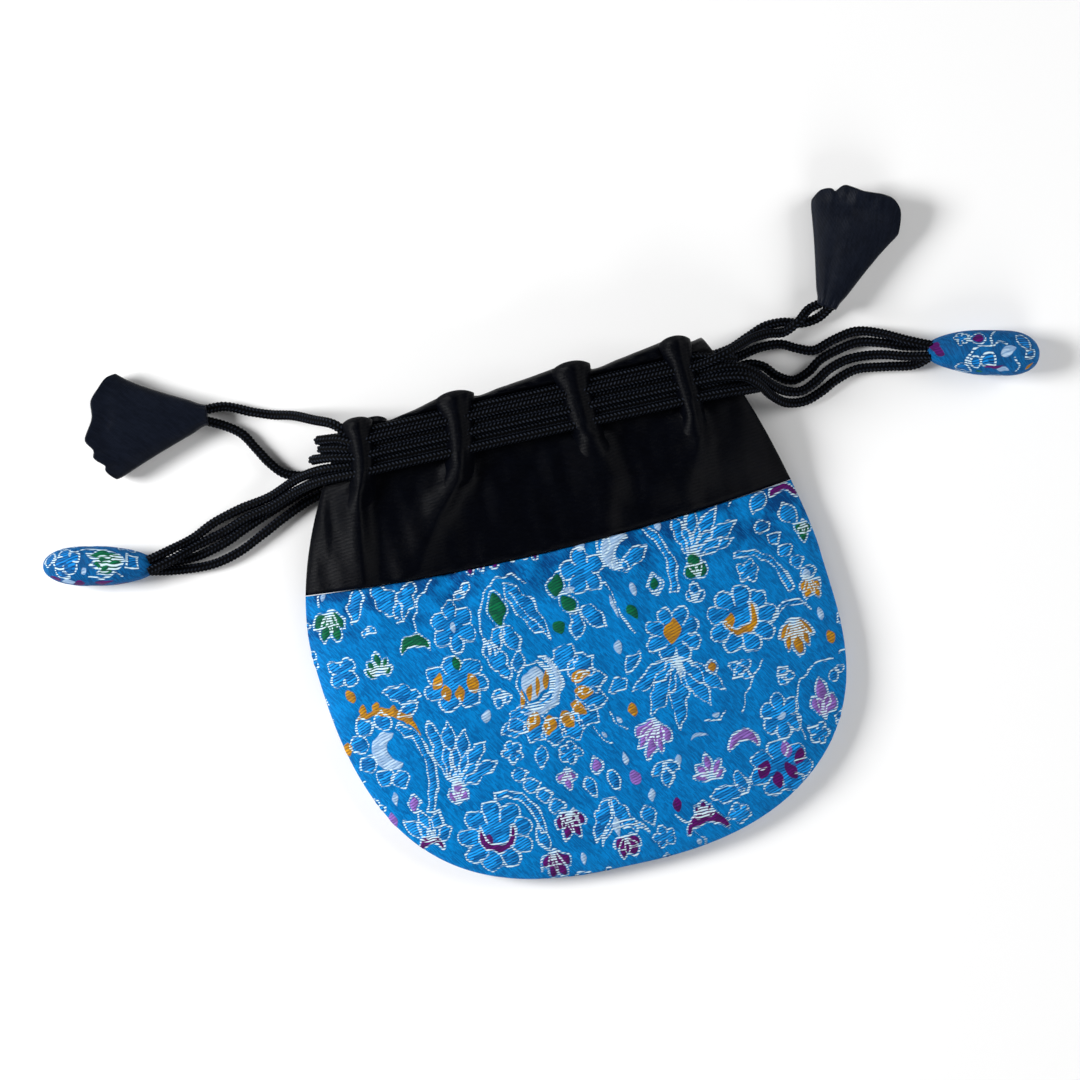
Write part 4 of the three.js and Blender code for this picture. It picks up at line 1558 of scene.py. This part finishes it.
@dataclass
class CordCarrier:
    """A strip of satin that holds the cords down and runs on into a fold of the band."""

    band: SatinBand
    number: int
    line: tuple[Point, ...]
    width: float
    arch_z: float
    height: float
    material: bpy.types.Material
    rows: int = 64
    columns: int = 29
    thickness: float = 0.55

    def build(self) -> bpy.types.Object:
        """Makes the strip, from the band's fold over the cords and round the top edge.

        Returns:
            The strip.
        """
        front = self.band.face is Face.FRONT
        way = 1 if front else -1
        form = self.band.form
        top_y = self.line[0][1]
        route = smooth_route(self.line[::-1], 0.2)
        share = np.linspace(0, 1, self.rows)
        over = share * 1.16
        y_line = np.interp(np.minimum(over, 1), np.linspace(0, 1, len(route)), route[:, 1])
        x_line = np.interp(np.minimum(over, 1), np.linspace(0, 1, len(route)), route[:, 0])
        back_turn = np.clip((over - 1) / 0.16, 0, 1)
        y_line = y_line - back_turn * 1.6
        c, row = np.meshgrid(np.linspace(-1, 1, self.columns), np.arange(self.rows))
        y = y_line[row] - 1.3 * np.abs(c) ** 2.4 * ramp(y_line[row], 50, 54)
        swell = 1 + 0.30 * (1 - ramp(y, 34.0, 41.0)) + 0.28 * ramp(y, 49.5, 54)
        swell = swell + 0.04 * ripple(y * 0, y, 16.0, 30 + self.number)
        x = x_line[row] + c * self.width / 2 * swell
        across = np.clip((x - form.lean(y)) / form.half_width(np.minimum(y, form.mouth_y)), -1, 1)
        band_z = self.band.surface_z(across, x, y)
        ridge = np.clip(np.where(c < 0.1, (c - 0.1) / 1.1, (c - 0.1) / 0.9), -1, 1)
        crown = np.clip(1 - 0.97 * np.abs(ridge) ** 1.9, 0, 1) ** 0.75
        crease = 0.30 * np.exp(-(((c - 0.45) / 0.22) ** 2))
        crease = crease + 0.10 * ripple(x, y * 0.25, 4.6, 40 + self.number)
        edge_fall = self.height * (1 + 1.0 * (1 - ramp(y, 36.5, 42.5)))
        arch = self.arch_z - way * (edge_fall * (1 - crown) + crease)
        top_fall = np.clip((y - (top_y - 2.4)) / 2.4, 0, 1) ** 2 * 1.7 + back_turn[row] * 2.2
        arch = arch - way * top_fall
        blend = ramp(y, 33.0, 42.0)
        sunk = 0.50 * (1 - ramp(y - 4.5 * c**2, 28.5, 36.0))
        z = mix(band_z + way * (0.10 - sunk - 0.45 * np.abs(c) ** 4), arch, blend)
        outer = np.dstack([x, y, np.maximum(z, self.band.rest_height)])
        inner = outer.copy()
        inner[..., 2] -= way * self.thickness
        sheet = ClothSheet(outer, inner, step=1, underside=not front)
        points, faces = sheet.mesh_parts()
        name = f"{self.band.face.value}_fold_{self.number}"
        piece = make_piece(name, points, faces, points[:, :2].copy(), self.material)
        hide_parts(f"{self.band.face.value}_carrier_{self.number}")
        return piece


# Cords ----------------------------------------------------------------------------------------------


class Side(Enum):
    """The side of the bag that a cord comes out of."""

    LEFT = -1
    RIGHT = 1


@dataclass(frozen=True)
class CordChannel:
    """Where the six rows of cord lie across the mouth, in mm."""

    form: BagForm
    top_y: float = 50.3
    pitch: float = 1.7
    front_z: float = 12.8
    back_z: float = 3.3
    level_step: float = 1.3
    half_length: float = 38.5
    turn_reach: float = 3.0
    stops: tuple[float, ...] = (1, 0.85, 0.3, -0.3, -0.85, -1)

    def run(self, side: Side, front_row: int, back_row: int, turn_y: float) -> Route:
        """Returns the route through the front channel, round the far side seam and back.

        Args:
            side: The side that the cord comes out of.
            front_row: Its row in the front, from the top.
            back_row: Its row in the back.
            turn_y: Where it goes round the side seam.

        Returns:
            The points of the route.
        """
        near, far = side.value, -side.value
        front = (self.top_y - self.pitch * front_row, self.front_z + (front_row % 2) * self.level_step)
        back = (self.top_y - self.pitch * back_row, self.back_z - ((back_row + 1) % 2) * self.level_step)
        levels = front_row % 2 + (back_row + 1) % 2
        half = float(self.form.half_width(np.array(turn_y)))
        shoulder = far * (half - 0.6)
        outermost = far * (half + self.turn_reach + levels * self.level_step / 2)
        return [
            *[(near * self.half_length * stop, *front) for stop in self.stops],
            (shoulder, float(mix(front[0], turn_y, 0.6)), front[1] - 1.3),
            (outermost, turn_y, self.form.mouth_rim_z),
            (shoulder, float(mix(back[0], turn_y, 0.6)), back[1] + 1.3),
            *[(far * self.half_length * stop, *back) for stop in self.stops],
        ]


@dataclass
class BraidedCord:
    """A loop of round plaited cord, from its ornament through both channels and back."""

    name: str
    route: Route
    material: bpy.types.Material
    diameter: float = 2.0
    grain_pitch: float = 0.84
    grain_tilt: float = 0.34
    rings_per_grain: int = 4
    sides: int = 24
    columns: int = 6
    rest_height: float = 0.04

    def frames(self, line: Array) -> tuple[Array, Array]:
        """Returns two directions across the cord at each point, turning as little as they can.

        Args:
            line: Points along the cord.

        Returns:
            The two directions at each point.
        """
        run = np.gradient(line, axis=0)
        run /= np.linalg.norm(run, axis=1)[:, None]
        side = np.cross(run[0], [0.0, 0.0, 1.0])
        side /= np.linalg.norm(side)
        sides = [side]
        for tangent in run[1:]:
            side = side - tangent * (side @ tangent)
            side = side / np.linalg.norm(side)
            sides.append(side)
        across = np.array(sides)
        return across, np.cross(across, run)

    def build(self) -> bpy.types.Object:
        """Makes the cord as a tube with the relief of its plait.

        Returns:
            The cord.
        """
        line = smooth_route(self.route, self.grain_pitch / self.rings_per_grain)
        across, up = self.frames(line)
        count = len(line)
        ring, turn = np.meshgrid(np.arange(count), np.arange(self.sides) / self.sides, indexing="ij")
        gone = ring / self.rings_per_grain
        place = turn * self.columns + 0.5
        column = np.floor(place)
        off = (place - column) * 2 - 1
        tilt = np.where(column % 2 == 0, 1.0, -1.0)
        phase = gone + tilt * off * self.grain_tilt + 0.5 * (column % 2)
        grain = np.abs(np.sin(math.pi * phase)) ** 1.1 * (1 - np.abs(off) ** 2.6)
        radius = self.diameter / 2 * (0.82 + 0.30 * grain)
        radius = radius * (1 + 0.03 * ripple(gone, gone * 0, 9.0, len(self.name)))
        angle = 2 * math.pi * turn
        step = (across[:, None, :] * np.cos(angle)[..., None] + up[:, None, :] * np.sin(angle)[..., None])
        points = (line[:, None, :] + step * radius[..., None]).reshape(-1, 3)
        points[:, 2] = np.maximum(points[:, 2], self.rest_height)
        faces: list[Sequence[int]] = [face[::-1] for face in grid_faces(count, self.sides, 0, True)]
        faces.append(tuple(range(self.sides)))
        faces.append(tuple(range(count * self.sides - 1, (count - 1) * self.sides - 1, -1)))
        cloth = np.column_stack([(angle * self.diameter / 2).ravel(),
                                 (gone * self.grain_pitch).ravel()])
        piece = make_piece(self.name.replace("_cord", "_braid"), points, faces, cloth, self.material,
                           {"grain": grain.ravel()})
        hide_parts(self.name)
        return piece


# Ornaments ------------------------------------------------------------------------------------------


@dataclass
class Ornament:
    """A cord end: where its neck is on the table and which way it points."""

    name: str
    neck: Point
    heading: float
    length: float
    width: float
    material: bpy.types.Material
    collar: float = field(default=1.5, kw_only=True)
    rings: int = field(default=84, kw_only=True)
    sides: int = field(default=140, kw_only=True)

    def grid(self) -> tuple[Array, Array]:
        """Spreads the ornament's rings and sides evenly.

        Returns:
            Each point's share of the length, and its share of the turn round.
        """
        turn = np.arange(self.sides) / self.sides
        return tuple(np.meshgrid(np.linspace(0, 1, self.rings), turn, indexing="ij"))

    def placed(self, along: Array, side: Array, height: Array) -> Array:
        """Turns lengths along, across and above the ornament into points.

        Args:
            along: Lengths from the neck in mm.
            side: Lengths to the left in mm.
            height: Heights in mm.

        Returns:
            One point in each row.
        """
        a = math.radians(self.heading)
        x = self.neck[0] + along * math.cos(a) - side * math.sin(a)
        y = self.neck[1] + along * math.sin(a) + side * math.cos(a)
        return np.column_stack([x.ravel(), y.ravel(), height.ravel()])


@dataclass
class Trumpet(Ornament):
    """A satin end piece pressed flat, narrow at the neck and flared and pleated at its mouth."""

    neck_half: float = 2.5
    mouth_half_height: float = 3.4
    lobes: tuple[Point, ...] = ()
    heading_of_threads: float = 0.0
    dish: float = 2.6

    def build(self) -> bpy.types.Object:
        """Makes the trumpet.

        Returns:
            The trumpet.
        """
        t, turn = self.grid()
        angle = 2 * math.pi * turn
        flare = mix(self.neck_half * 0.92, self.width / 2, 0.86 * t + 0.14 * np.sin(t * math.pi / 2))
        flare *= 1 - 0.08 * np.exp(-(((t - 0.05) / 0.05) ** 2))
        half_height = mix(2.1, self.mouth_half_height, t**0.8)
        shape = np.abs(np.cos(angle)) ** 0.8 * np.sign(np.cos(angle))
        side = flare * shape * (1 - 0.07 * t**9 * np.abs(shape) ** 5)
        lobe_line = smooth_route(self.lobes, 0.01)
        reach = np.interp(shape, lobe_line[:, 0], lobe_line[:, 1])
        along = mix(-self.collar, self.length, t) * mix(1.0, reach, t**2)
        crown = np.sign(np.sin(angle)) * np.abs(np.sin(angle)) ** 0.82
        pleat = 0.34 * ripple(shape * 9, t * 1.5, 9.0, len(self.name)) * t**1.6
        pleat += 0.26 * ripple(shape * 16, t * 2.0, 5.0, len(self.name) + 5) * t**7
        gathers = 0.14 * np.sin(angle * 13) * np.exp(-t / 0.08)
        valley = 1.1 * np.exp(-(((shape - 0.35) / 0.22) ** 2)) * t * (1.15 - t)
        valley += 0.35 * np.exp(-(((t - 0.86) / 0.07) ** 2)) * np.exp(-((shape / 0.7) ** 2))
        up = crown * (half_height - valley * (crown > 0)) + (pleat + gathers) * crown
        height = self.mouth_half_height + up
        height = np.where(crown < 0, np.maximum(height, 0.12 + 0.3 * (1 - t)), height)
        outside = self.placed(along, side, height)
        lip = [outside]
        for depth, shrink in ((0.25, 0.965), (0.0, 0.93), (-0.8, 0.90), (-self.dish, 0.84)):
            inner_up = self.mouth_half_height + (height[-1] - self.mouth_half_height) * (shrink - 0.10)
            lip.append(self.placed(along[-1] + depth, side[-1] * shrink, inner_up))
        points = np.vstack(lip)
        count = self.rings + len(lip) - 1
        faces: list[Sequence[int]] = [face[::-1] for face in grid_faces(count, self.sides, 0, True)]
        faces.append(tuple(range(self.sides)))
        faces.append(tuple(range(count * self.sides - 1, (count - 1) * self.sides - 1, -1)))
        cloth = np.column_stack([side.ravel(), along.ravel()])
        lining = np.tile(cloth[-self.sides :], (len(lip) - 1, 1))
        cloth = np.vstack([cloth, lining])
        cloth = turned(cloth, self.heading_of_threads, (0.0, 0.0))
        piece = make_piece(self.name + "_satin", points, faces, cloth, self.material)
        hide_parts(self.name)
        return piece


@dataclass
class Pod(Ornament):
    """A stuffed brocade end piece, gathered at its neck and sewn along its side."""

    half_height: float = 3.5
    fullest: float = 0.55
    design: Design = field(default_factory=Design)
    rings: int = field(default=130, kw_only=True)
    sides: int = field(default=110, kw_only=True)

    def build(self) -> bpy.types.Object:
        """Makes the pod.

        Returns:
            The pod.
        """
        t, turn = self.grid()
        t = 0.5 - 0.5 * np.cos(math.pi * np.clip(t, 0, 1))
        angle = 2 * math.pi * turn
        fullest = self.fullest
        towards_neck = 1 - 0.88 * np.clip((fullest - t) / fullest, 0, 1) ** 2.2
        towards_tip = 1 - np.clip((t - fullest) / (1 - fullest), 0, 1) ** 2.6
        plump = np.sqrt(np.minimum(towards_neck, towards_tip))
        cos, sin = np.cos(angle), np.sin(angle)
        ridge = np.sign(cos) * np.abs(cos) ** 0.88
        side = self.width / 2 * plump * ridge
        crown = np.sign(sin) * np.abs(sin) ** 0.9
        tuck = 1 - 0.10 * np.exp(-((sin + 0.34) ** 2) / 0.004) * (cos < 0)
        folds = 1 + 0.05 * np.sin(angle * 11 + 0.6) * (np.exp(-t / 0.10) + np.exp(-(1 - t) / 0.05))
        folds += 0.022 * ripple(t * 22, turn * 20, 6.0, len(self.name) + 40)
        side = side * folds * tuck
        up = self.half_height * plump * crown * folds * tuck
        height = self.half_height + 0.05 + up
        height = np.where(sin < 0, np.maximum(height, 0.15 + 0.5 * (1 - plump)), height)
        along = mix(-self.collar, self.length, t)
        round_mm = math.pi * (self.width + 2 * self.half_height) / 2
        cloth_u = along.ravel()
        cloth_v = (0.25 - turn.ravel()) * round_mm
        fields, tones = self.design.lay_on(cloth_u, cloth_v)
        points = self.placed(along, side, height)
        faces: list[Sequence[int]] = [face[::-1] for face in grid_faces(self.rings, self.sides, 0, True)]
        faces.append(tuple(range(self.sides)))
        faces.append(tuple(range(self.rings * self.sides - 1, (self.rings - 1) * self.sides - 1, -1)))
        attributes = {layer.value: values for layer, values in fields.items()}
        attributes["tone"] = tones
        piece = make_piece(self.name + "_brocade", points, faces, np.column_stack([cloth_u, cloth_v]),
                           self.material, attributes)
        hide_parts(self.name)
        return piece


# The whole pouch ------------------------------------------------------------------------------------


@dataclass
class Studio:
    """White table, soft light and a camera that looks straight down."""

    centre: Point = (-3.6, 18.9)
    frame_width: float = 237.6
    camera_height: float = 700.0
    middle_z: float = 8.0
    slant: float = 12.5

    def build(self) -> None:
        """Makes the table, the lights, the sky and the camera."""
        self.table()
        self.light("key", (-0.64, 0.22, 0.40), 0.30, 8.6)
        self.light("fill", (0.70, 0.10, 0.38), 0.50, 3.4)
        self.light("front", (0.05, -0.72, 0.36), 0.5, 2.6)
        scene = bpy.context.scene
        world = bpy.data.worlds.new("studio")
        world.use_nodes = True
        sky = world.node_tree.nodes["Background"]
        sky.inputs["Color"].default_value = (1.0, 1.0, 1.0, 1.0)
        sky.inputs["Strength"].default_value = 0.10
        scene.world = world
        scene.view_settings.view_transform = "Standard"
        self.camera()

    def table(self) -> None:
        """Makes the white table top."""
        bpy.ops.object.select_all(action="DESELECT")
        bpy.ops.mesh.primitive_plane_add(size=6.0, location=(0, 0, -0.0004))
        top = bpy.context.object
        top.name = "table_top"
        material = bpy.data.materials.new("white_table")
        material.use_nodes = True
        shader = material.node_tree.nodes["Principled BSDF"]
        shader.inputs["Base Color"].default_value = (0.93, 0.93, 0.93, 1.0)
        shader.inputs["Roughness"].default_value = 0.8
        top.data.materials.append(material)

    def light(self, name: str, place: tuple[float, float, float], size: float, power: float) -> None:
        """Adds a soft square light that faces the pouch.

        Args:
            name: Its name.
            place: Where it stands, in metres.
            size: Its side in metres.
            power: Its strength in watts.
        """
        data = bpy.data.lights.new(name, "AREA")
        data.size = size
        data.energy = power
        lamp = bpy.data.objects.new(name, data)
        lamp.location = place
        aim = -lamp.location
        lamp.rotation_euler = aim.to_track_quat("-Z", "Y").to_euler()
        bpy.context.scene.collection.objects.link(lamp)

    def camera(self) -> None:
        """Adds the camera, square to the table and turned a little."""
        data = bpy.data.cameras.new("camera")
        data.sensor_width = 36.0
        data.lens = 36.0 * (self.camera_height - self.middle_z) / self.frame_width
        camera = bpy.data.objects.new("camera", data)
        camera.location = (self.centre[0] * MM, self.centre[1] * MM, self.camera_height * MM)
        camera.rotation_euler = (0.0, 0.0, -math.radians(self.slant))
        bpy.context.scene.collection.objects.link(camera)
        bpy.context.scene.camera = camera


FRONT_FOLDS = (
    Fold(((-38.8, 44.0), (-40.6, 34.3), (-43.4, 18.0)), 3.5, 4.4, 0.42, 0.55),
    Fold(((-15.2, 44.0), (-18.2, 35.3), (-24.6, 28.2), (-32.2, 17.0)), 3.6, 5.4, 0.55, 0.30),
    Fold(((12.6, 44.0), (13.6, 35.5), (14.2, 28.4), (12.0, 18.0)), 3.4, 6.0, 0.45, 0.22),
    Fold(((35.6, 44.0), (35.2, 32.8), (29.8, 20.3)), 3.4, 5.0, 0.5, 0.15),
    Fold(((-49.5, 33.0), (-50.0, 27.0), (-48.0, 17.0)), 0.9, 5.0),
)
FRONT_TOP = (
    (-46.0, 50.4), (-42.0, 52.6), (-39.6, 53.5), (-36.2, 53.2), (-34.2, 51.2), (-30.0, 51.7),
    (-24.0, 52.8), (-18.6, 54.1), (-15.0, 54.6), (-12.4, 54.1), (-10.8, 52.8), (-5.0, 53.4),
    (2.0, 54.2), (8.0, 55.0), (11.0, 55.4), (13.8, 54.8), (15.2, 53.1), (22.0, 53.9),
    (30.5, 55.3), (34.0, 55.9), (36.2, 55.5), (37.4, 54.3), (41.0, 54.8), (44.6, 54.2), (48.0, 52.0),
)
FRONT_LINES = (
    (((-37.3, 53.9), (-37.4, 46.0), (-38.6, 40.0), (-41.0, 33.6), (-42.2, 29.0)), 5.8),
    (((-15.2, 54.9), (-15.6, 46.0), (-16.8, 40.0), (-19.4, 33.6), (-22.4, 29.0)), 6.8),
    (((11.0, 55.7), (11.2, 46.0), (11.6, 40.0), (12.9, 33.6), (13.6, 29.0)), 7.0),
    (((34.3, 56.2), (34.9, 46.0), (35.0, 40.0), (34.4, 33.6), (33.2, 29.0)), 5.6),
)
LEFT_TRUMPET_ROUTES = (
    [(-70.3, 63.2, 2.2), (-65.5, 63, 1.3), (-60.1, 60.6, 1.1), (-55.6, 58.9, 1.9), (-51, 57.6, 4.4),
     (-46.4, 55.4, 8.6), (-42.4, 53.5, 12.2)],
    [(-70.5, 60.9, 2.2), (-66.6, 58.9, 1.2), (-63.2, 56.3, 1.1), (-60.8, 52.4, 1.1),
     (-58.4, 48.4, 1.1), (-55.8, 45.6, 1.1), (-51.5, 44.2, 1.2), (-46.5, 44.3, 2)],
)
LEFT_POD_ROUTES_1 = (
    [(-89.2, 33.2, 4.8), (-83.6, 34.6, 3.3), (-78.6, 36, 1.6), (-73.6, 38.3, 1.1), (-67.3, 40, 1.3),
     (-60, 41.2, 2.6), (-53, 43.6, 6.2), (-47, 44.3, 11)],
    [(-89.2, 33.2, 2.4), (-84.8, 32, 1.4), (-79.2, 31.8, 1.1), (-72.1, 33.4, 1.1),
     (-66.4, 35.8, 1.1), (-59.4, 38.4, 1.1), (-52.4, 40.8, 1.1), (-46.5, 42.1, 1.2)],
)
LEFT_POD_ROUTES_2 = (
    [(-89.7, 30.9, 4.8), (-83.8, 32.3, 4.1), (-78.6, 34.1, 2.1), (-71.6, 35.9, 1.3), (-66, 37.8, 2.2),
     (-60.4, 38.9, 3.6), (-53.4, 41.2, 6.4), (-47.4, 42, 11)],
    [(-89.7, 30.9, 2.4), (-83.6, 29.8, 1.3), (-75.6, 29.4, 1.1), (-69.4, 30.8, 1.1),
     (-63.4, 33.5, 1.1), (-58.6, 35.8, 1.1), (-52.4, 38.4, 1.1), (-46.6, 39.9, 1.5)],
)
RIGHT_TRUMPET_ROUTES = (
    [(69, 56.8, 2.2), (65.8, 56, 2), (62.6, 53.7, 3.4), (59, 52.2, 2.4), (55.6, 52.6, 3.4),
     (52, 52.3, 5.6), (48.4, 51.2, 10.2), (44.2, 49.7, 14.4)],
    [(70.9, 55.7, 2.2), (67.2, 53.7, 1.3), (63.4, 53.4, 1.1), (59.4, 54.5, 1.1), (55.4, 54.4, 1.1),
     (51.2, 52.9, 1.1), (46.5, 51.2, 1.4)],
)
RIGHT_POD_ROUTES_1 = (
    [(89.8, 39.9, 4.7), (84.8, 41, 3.2), (78.4, 42.9, 1.4), (72, 43.3, 1.3), (67, 41.9, 2.4),
     (63.4, 39.8, 3.3), (60, 38.6, 3.5), (56.4, 39.4, 4.2), (53.4, 41.6, 6.4), (50.8, 44, 10.2),
     (47.4, 46.2, 12.6), (43.2, 47, 13.4)],
    [(90.4, 42.1, 4.7), (85.4, 44.4, 4.2), (80, 47.4, 1.8), (74.9, 49, 1.1), (69.6, 48.2, 1.1),
     (64.8, 46.9, 1.1), (61.2, 48.2, 1.1), (58, 49.8, 1.1), (53.4, 50.1, 1.1), (48, 49.1, 1.6)],
)
RIGHT_POD_ROUTES_2 = (
    [(89.8, 39.9, 2.4), (86.2, 38.9, 1.3), (79.7, 39.9, 1.1), (73.2, 40.7, 1.1), (68.4, 39.4, 1.1),
     (64.4, 37.5, 1.1), (60.4, 36.3, 1.1), (56.4, 36.8, 2.4), (53, 39.2, 5.8), (50.6, 41.9, 11.3),
     (47.8, 44, 14.4), (43.4, 45, 14.5)],
    [(90.4, 42.1, 2.4), (85.2, 43.3, 1.9), (80, 45.2, 1.6), (75, 46.5, 1.1), (70, 45.8, 1.1),
     (65.8, 44.5, 1.1), (62.6, 42.4, 1.1), (59, 41.4, 1.1), (55.8, 43, 1.1), (53.2, 45.8, 1.1),
     (50.4, 47, 1.1), (46.5, 46.8, 1.4)],
)


@dataclass
class Pouch:
    """The whole pouch."""

    form: BagForm = field(default_factory=BagForm)

    def build(self) -> None:
        """Makes every piece of the pouch."""
        brocade = BrocadeFinish("figured_brocade", 0.05, 0.20).build()
        satin = SatinFinish("black_satin", 0.045, 0.05).build()
        # The trumpets' satin is the black satin with a lighter lit colour: painted sheen.
        trumpet_satin = SatinFinish("trumpet_satin", 0.045, 0.05,
                                    lit=(0.0085, 0.0115, 0.0210)).build()
        pod_brocade = BrocadeFinish("pod_brocade", 0.10, 0.20,
                                    ground=(0.0004, 0.135, 0.390), ground_deep=(0.0002, 0.024, 0.100),
                                    floats=(0.0060, 0.240, 0.680),
                                    floats_deep=(0.0002, 0.012, 0.080)).build()
        braid = BraidFinish("black_braid", 0.035, 0.03).build()
        design = brocade_design()
        self.panels(design, brocade)
        self.top(satin)
        self.cords(pod_brocade, trumpet_satin, braid)

    def panels(self, design: Design, brocade: bpy.types.Material) -> None:
        """Makes the two brocade panels.

        Args:
            design: The figures of the cloth.
            brocade: The brocade.
        """
        front = BrocadePanel(self.form, Face.FRONT, design, brocade, 349, 0.33).build()
        back = BrocadePanel(self.form, Face.BACK, design, brocade, 217, 0.50).build()

    def top(self, satin: bpy.types.Material) -> None:
        """Makes the two satin bands and the strips that hold the cords.

        Args:
            satin: The black satin.
        """
        front = SatinBand(self.form, Face.FRONT, FRONT_FOLDS, FRONT_TOP, satin, 241, 105)
        back_folds = tuple(Fold(tuple((-x, y) for x, y in fold.path), fold.height * 0.95, fold.width)
                           for fold in FRONT_FOLDS)
        back_top = tuple((-x, y - BACK_TOP_DROP) for x, y in FRONT_TOP[::-1])
        back = SatinBand(self.form, Face.BACK, back_folds, back_top, satin, 169, 73)
        for band in (front, back):
            piece = band.build()
            is_front = band.face is Face.FRONT
            for i, (line, width) in enumerate(FRONT_LINES if is_front else FRONT_LINES[::-1]):
                if not is_front:
                    line = tuple((-x, y - BACK_STRIP_DROP) for x, y in line)
                crest_z = FRONT_CREST_Z if is_front else BACK_CREST_Z
                strip = CordCarrier(band, i + 1, line, width, crest_z, 3.0, satin).build()

    def cords(self, brocade: bpy.types.Material, satin: bpy.types.Material,
              braid: bpy.types.Material) -> None:
        """Makes the four ornaments and the six cords.

        Args:
            brocade: The pods' brocade.
            satin: The trumpets' satin.
            braid: The plaited cord finish.
        """
        left_lobes = ((-1.0, 0.69), (-0.93, 0.76), (-0.7, 0.85), (-0.52, 0.915), (-0.2, 0.925),
                      (0.02, 0.975), (0.2, 1.01), (0.4, 0.945), (0.53, 0.955), (0.7, 0.865),
                      (0.8, 0.87), (1.0, 0.80))
        right_lobes = ((-1.0, 0.74), (-0.93, 0.85), (-0.85, 0.93), (-0.65, 1.0), (-0.4, 1.01),
                       (0.0, 0.985), (0.44, 0.98), (0.56, 0.91), (0.64, 0.925), (0.86, 0.89),
                       (1.0, 0.80))
        left_trumpet = Trumpet("left_trumpet", (-71.1, 62.1), 175, 25.2, 25.0, satin, lobes=left_lobes,
                               heading_of_threads=30.0).build()
        right_trumpet = Trumpet("right_trumpet", (70.3, 56.9), 60, 25.2, 22.2, satin, lobes=right_lobes,
                                heading_of_threads=72.0).build()
        left_pod = Pod("left_pod", (-90.1, 32.2), 167.5, 22.7, 8.8, brocade, half_height=3.5,
                       design=left_pod_design()).build()
        right_pod = Pod("right_pod", (90.8, 40.8), -14.3, 23.1, 10.1, brocade, half_height=4.0,
                        fullest=0.64, design=right_pod_design()).build()
        channel = CordChannel(self.form)
        plan = (
            ("left_trumpet_cord", LEFT_TRUMPET_ROUTES, Side.LEFT, (0, 3, 48.5), left_trumpet, 252.5),
            ("left_pod_cord_1", LEFT_POD_ROUTES_1, Side.LEFT, (4, 4, 43.5), left_pod, 289.0),
            ("left_pod_cord_2", LEFT_POD_ROUTES_2, Side.LEFT, (5, 5, 41.2), left_pod, 292.5),
            ("right_trumpet_cord", RIGHT_TRUMPET_ROUTES, Side.RIGHT, (1, 0, 50.8), right_trumpet, 246.5),
            ("right_pod_cord_1", RIGHT_POD_ROUTES_1, Side.RIGHT, (2, 1, 48.8), right_pod, 287.5),
            ("right_pod_cord_2", RIGHT_POD_ROUTES_2, Side.RIGHT, (3, 2, 46.9), right_pod, 295.5),
        )
        for name, (out, back), side, rows, ornament, length in plan:
            route = [*out, *channel.run(side, *rows), *back[::-1]]
            cord = BraidedCord(name, route, braid)
            cord.build()


def main() -> None:
    """Builds the pouch and its studio."""
    logging.basicConfig(level=logging.INFO, format="%(name)s: %(message)s")
    Studio().build()
    Pouch().build()


if __name__ == "__main__":
    main()
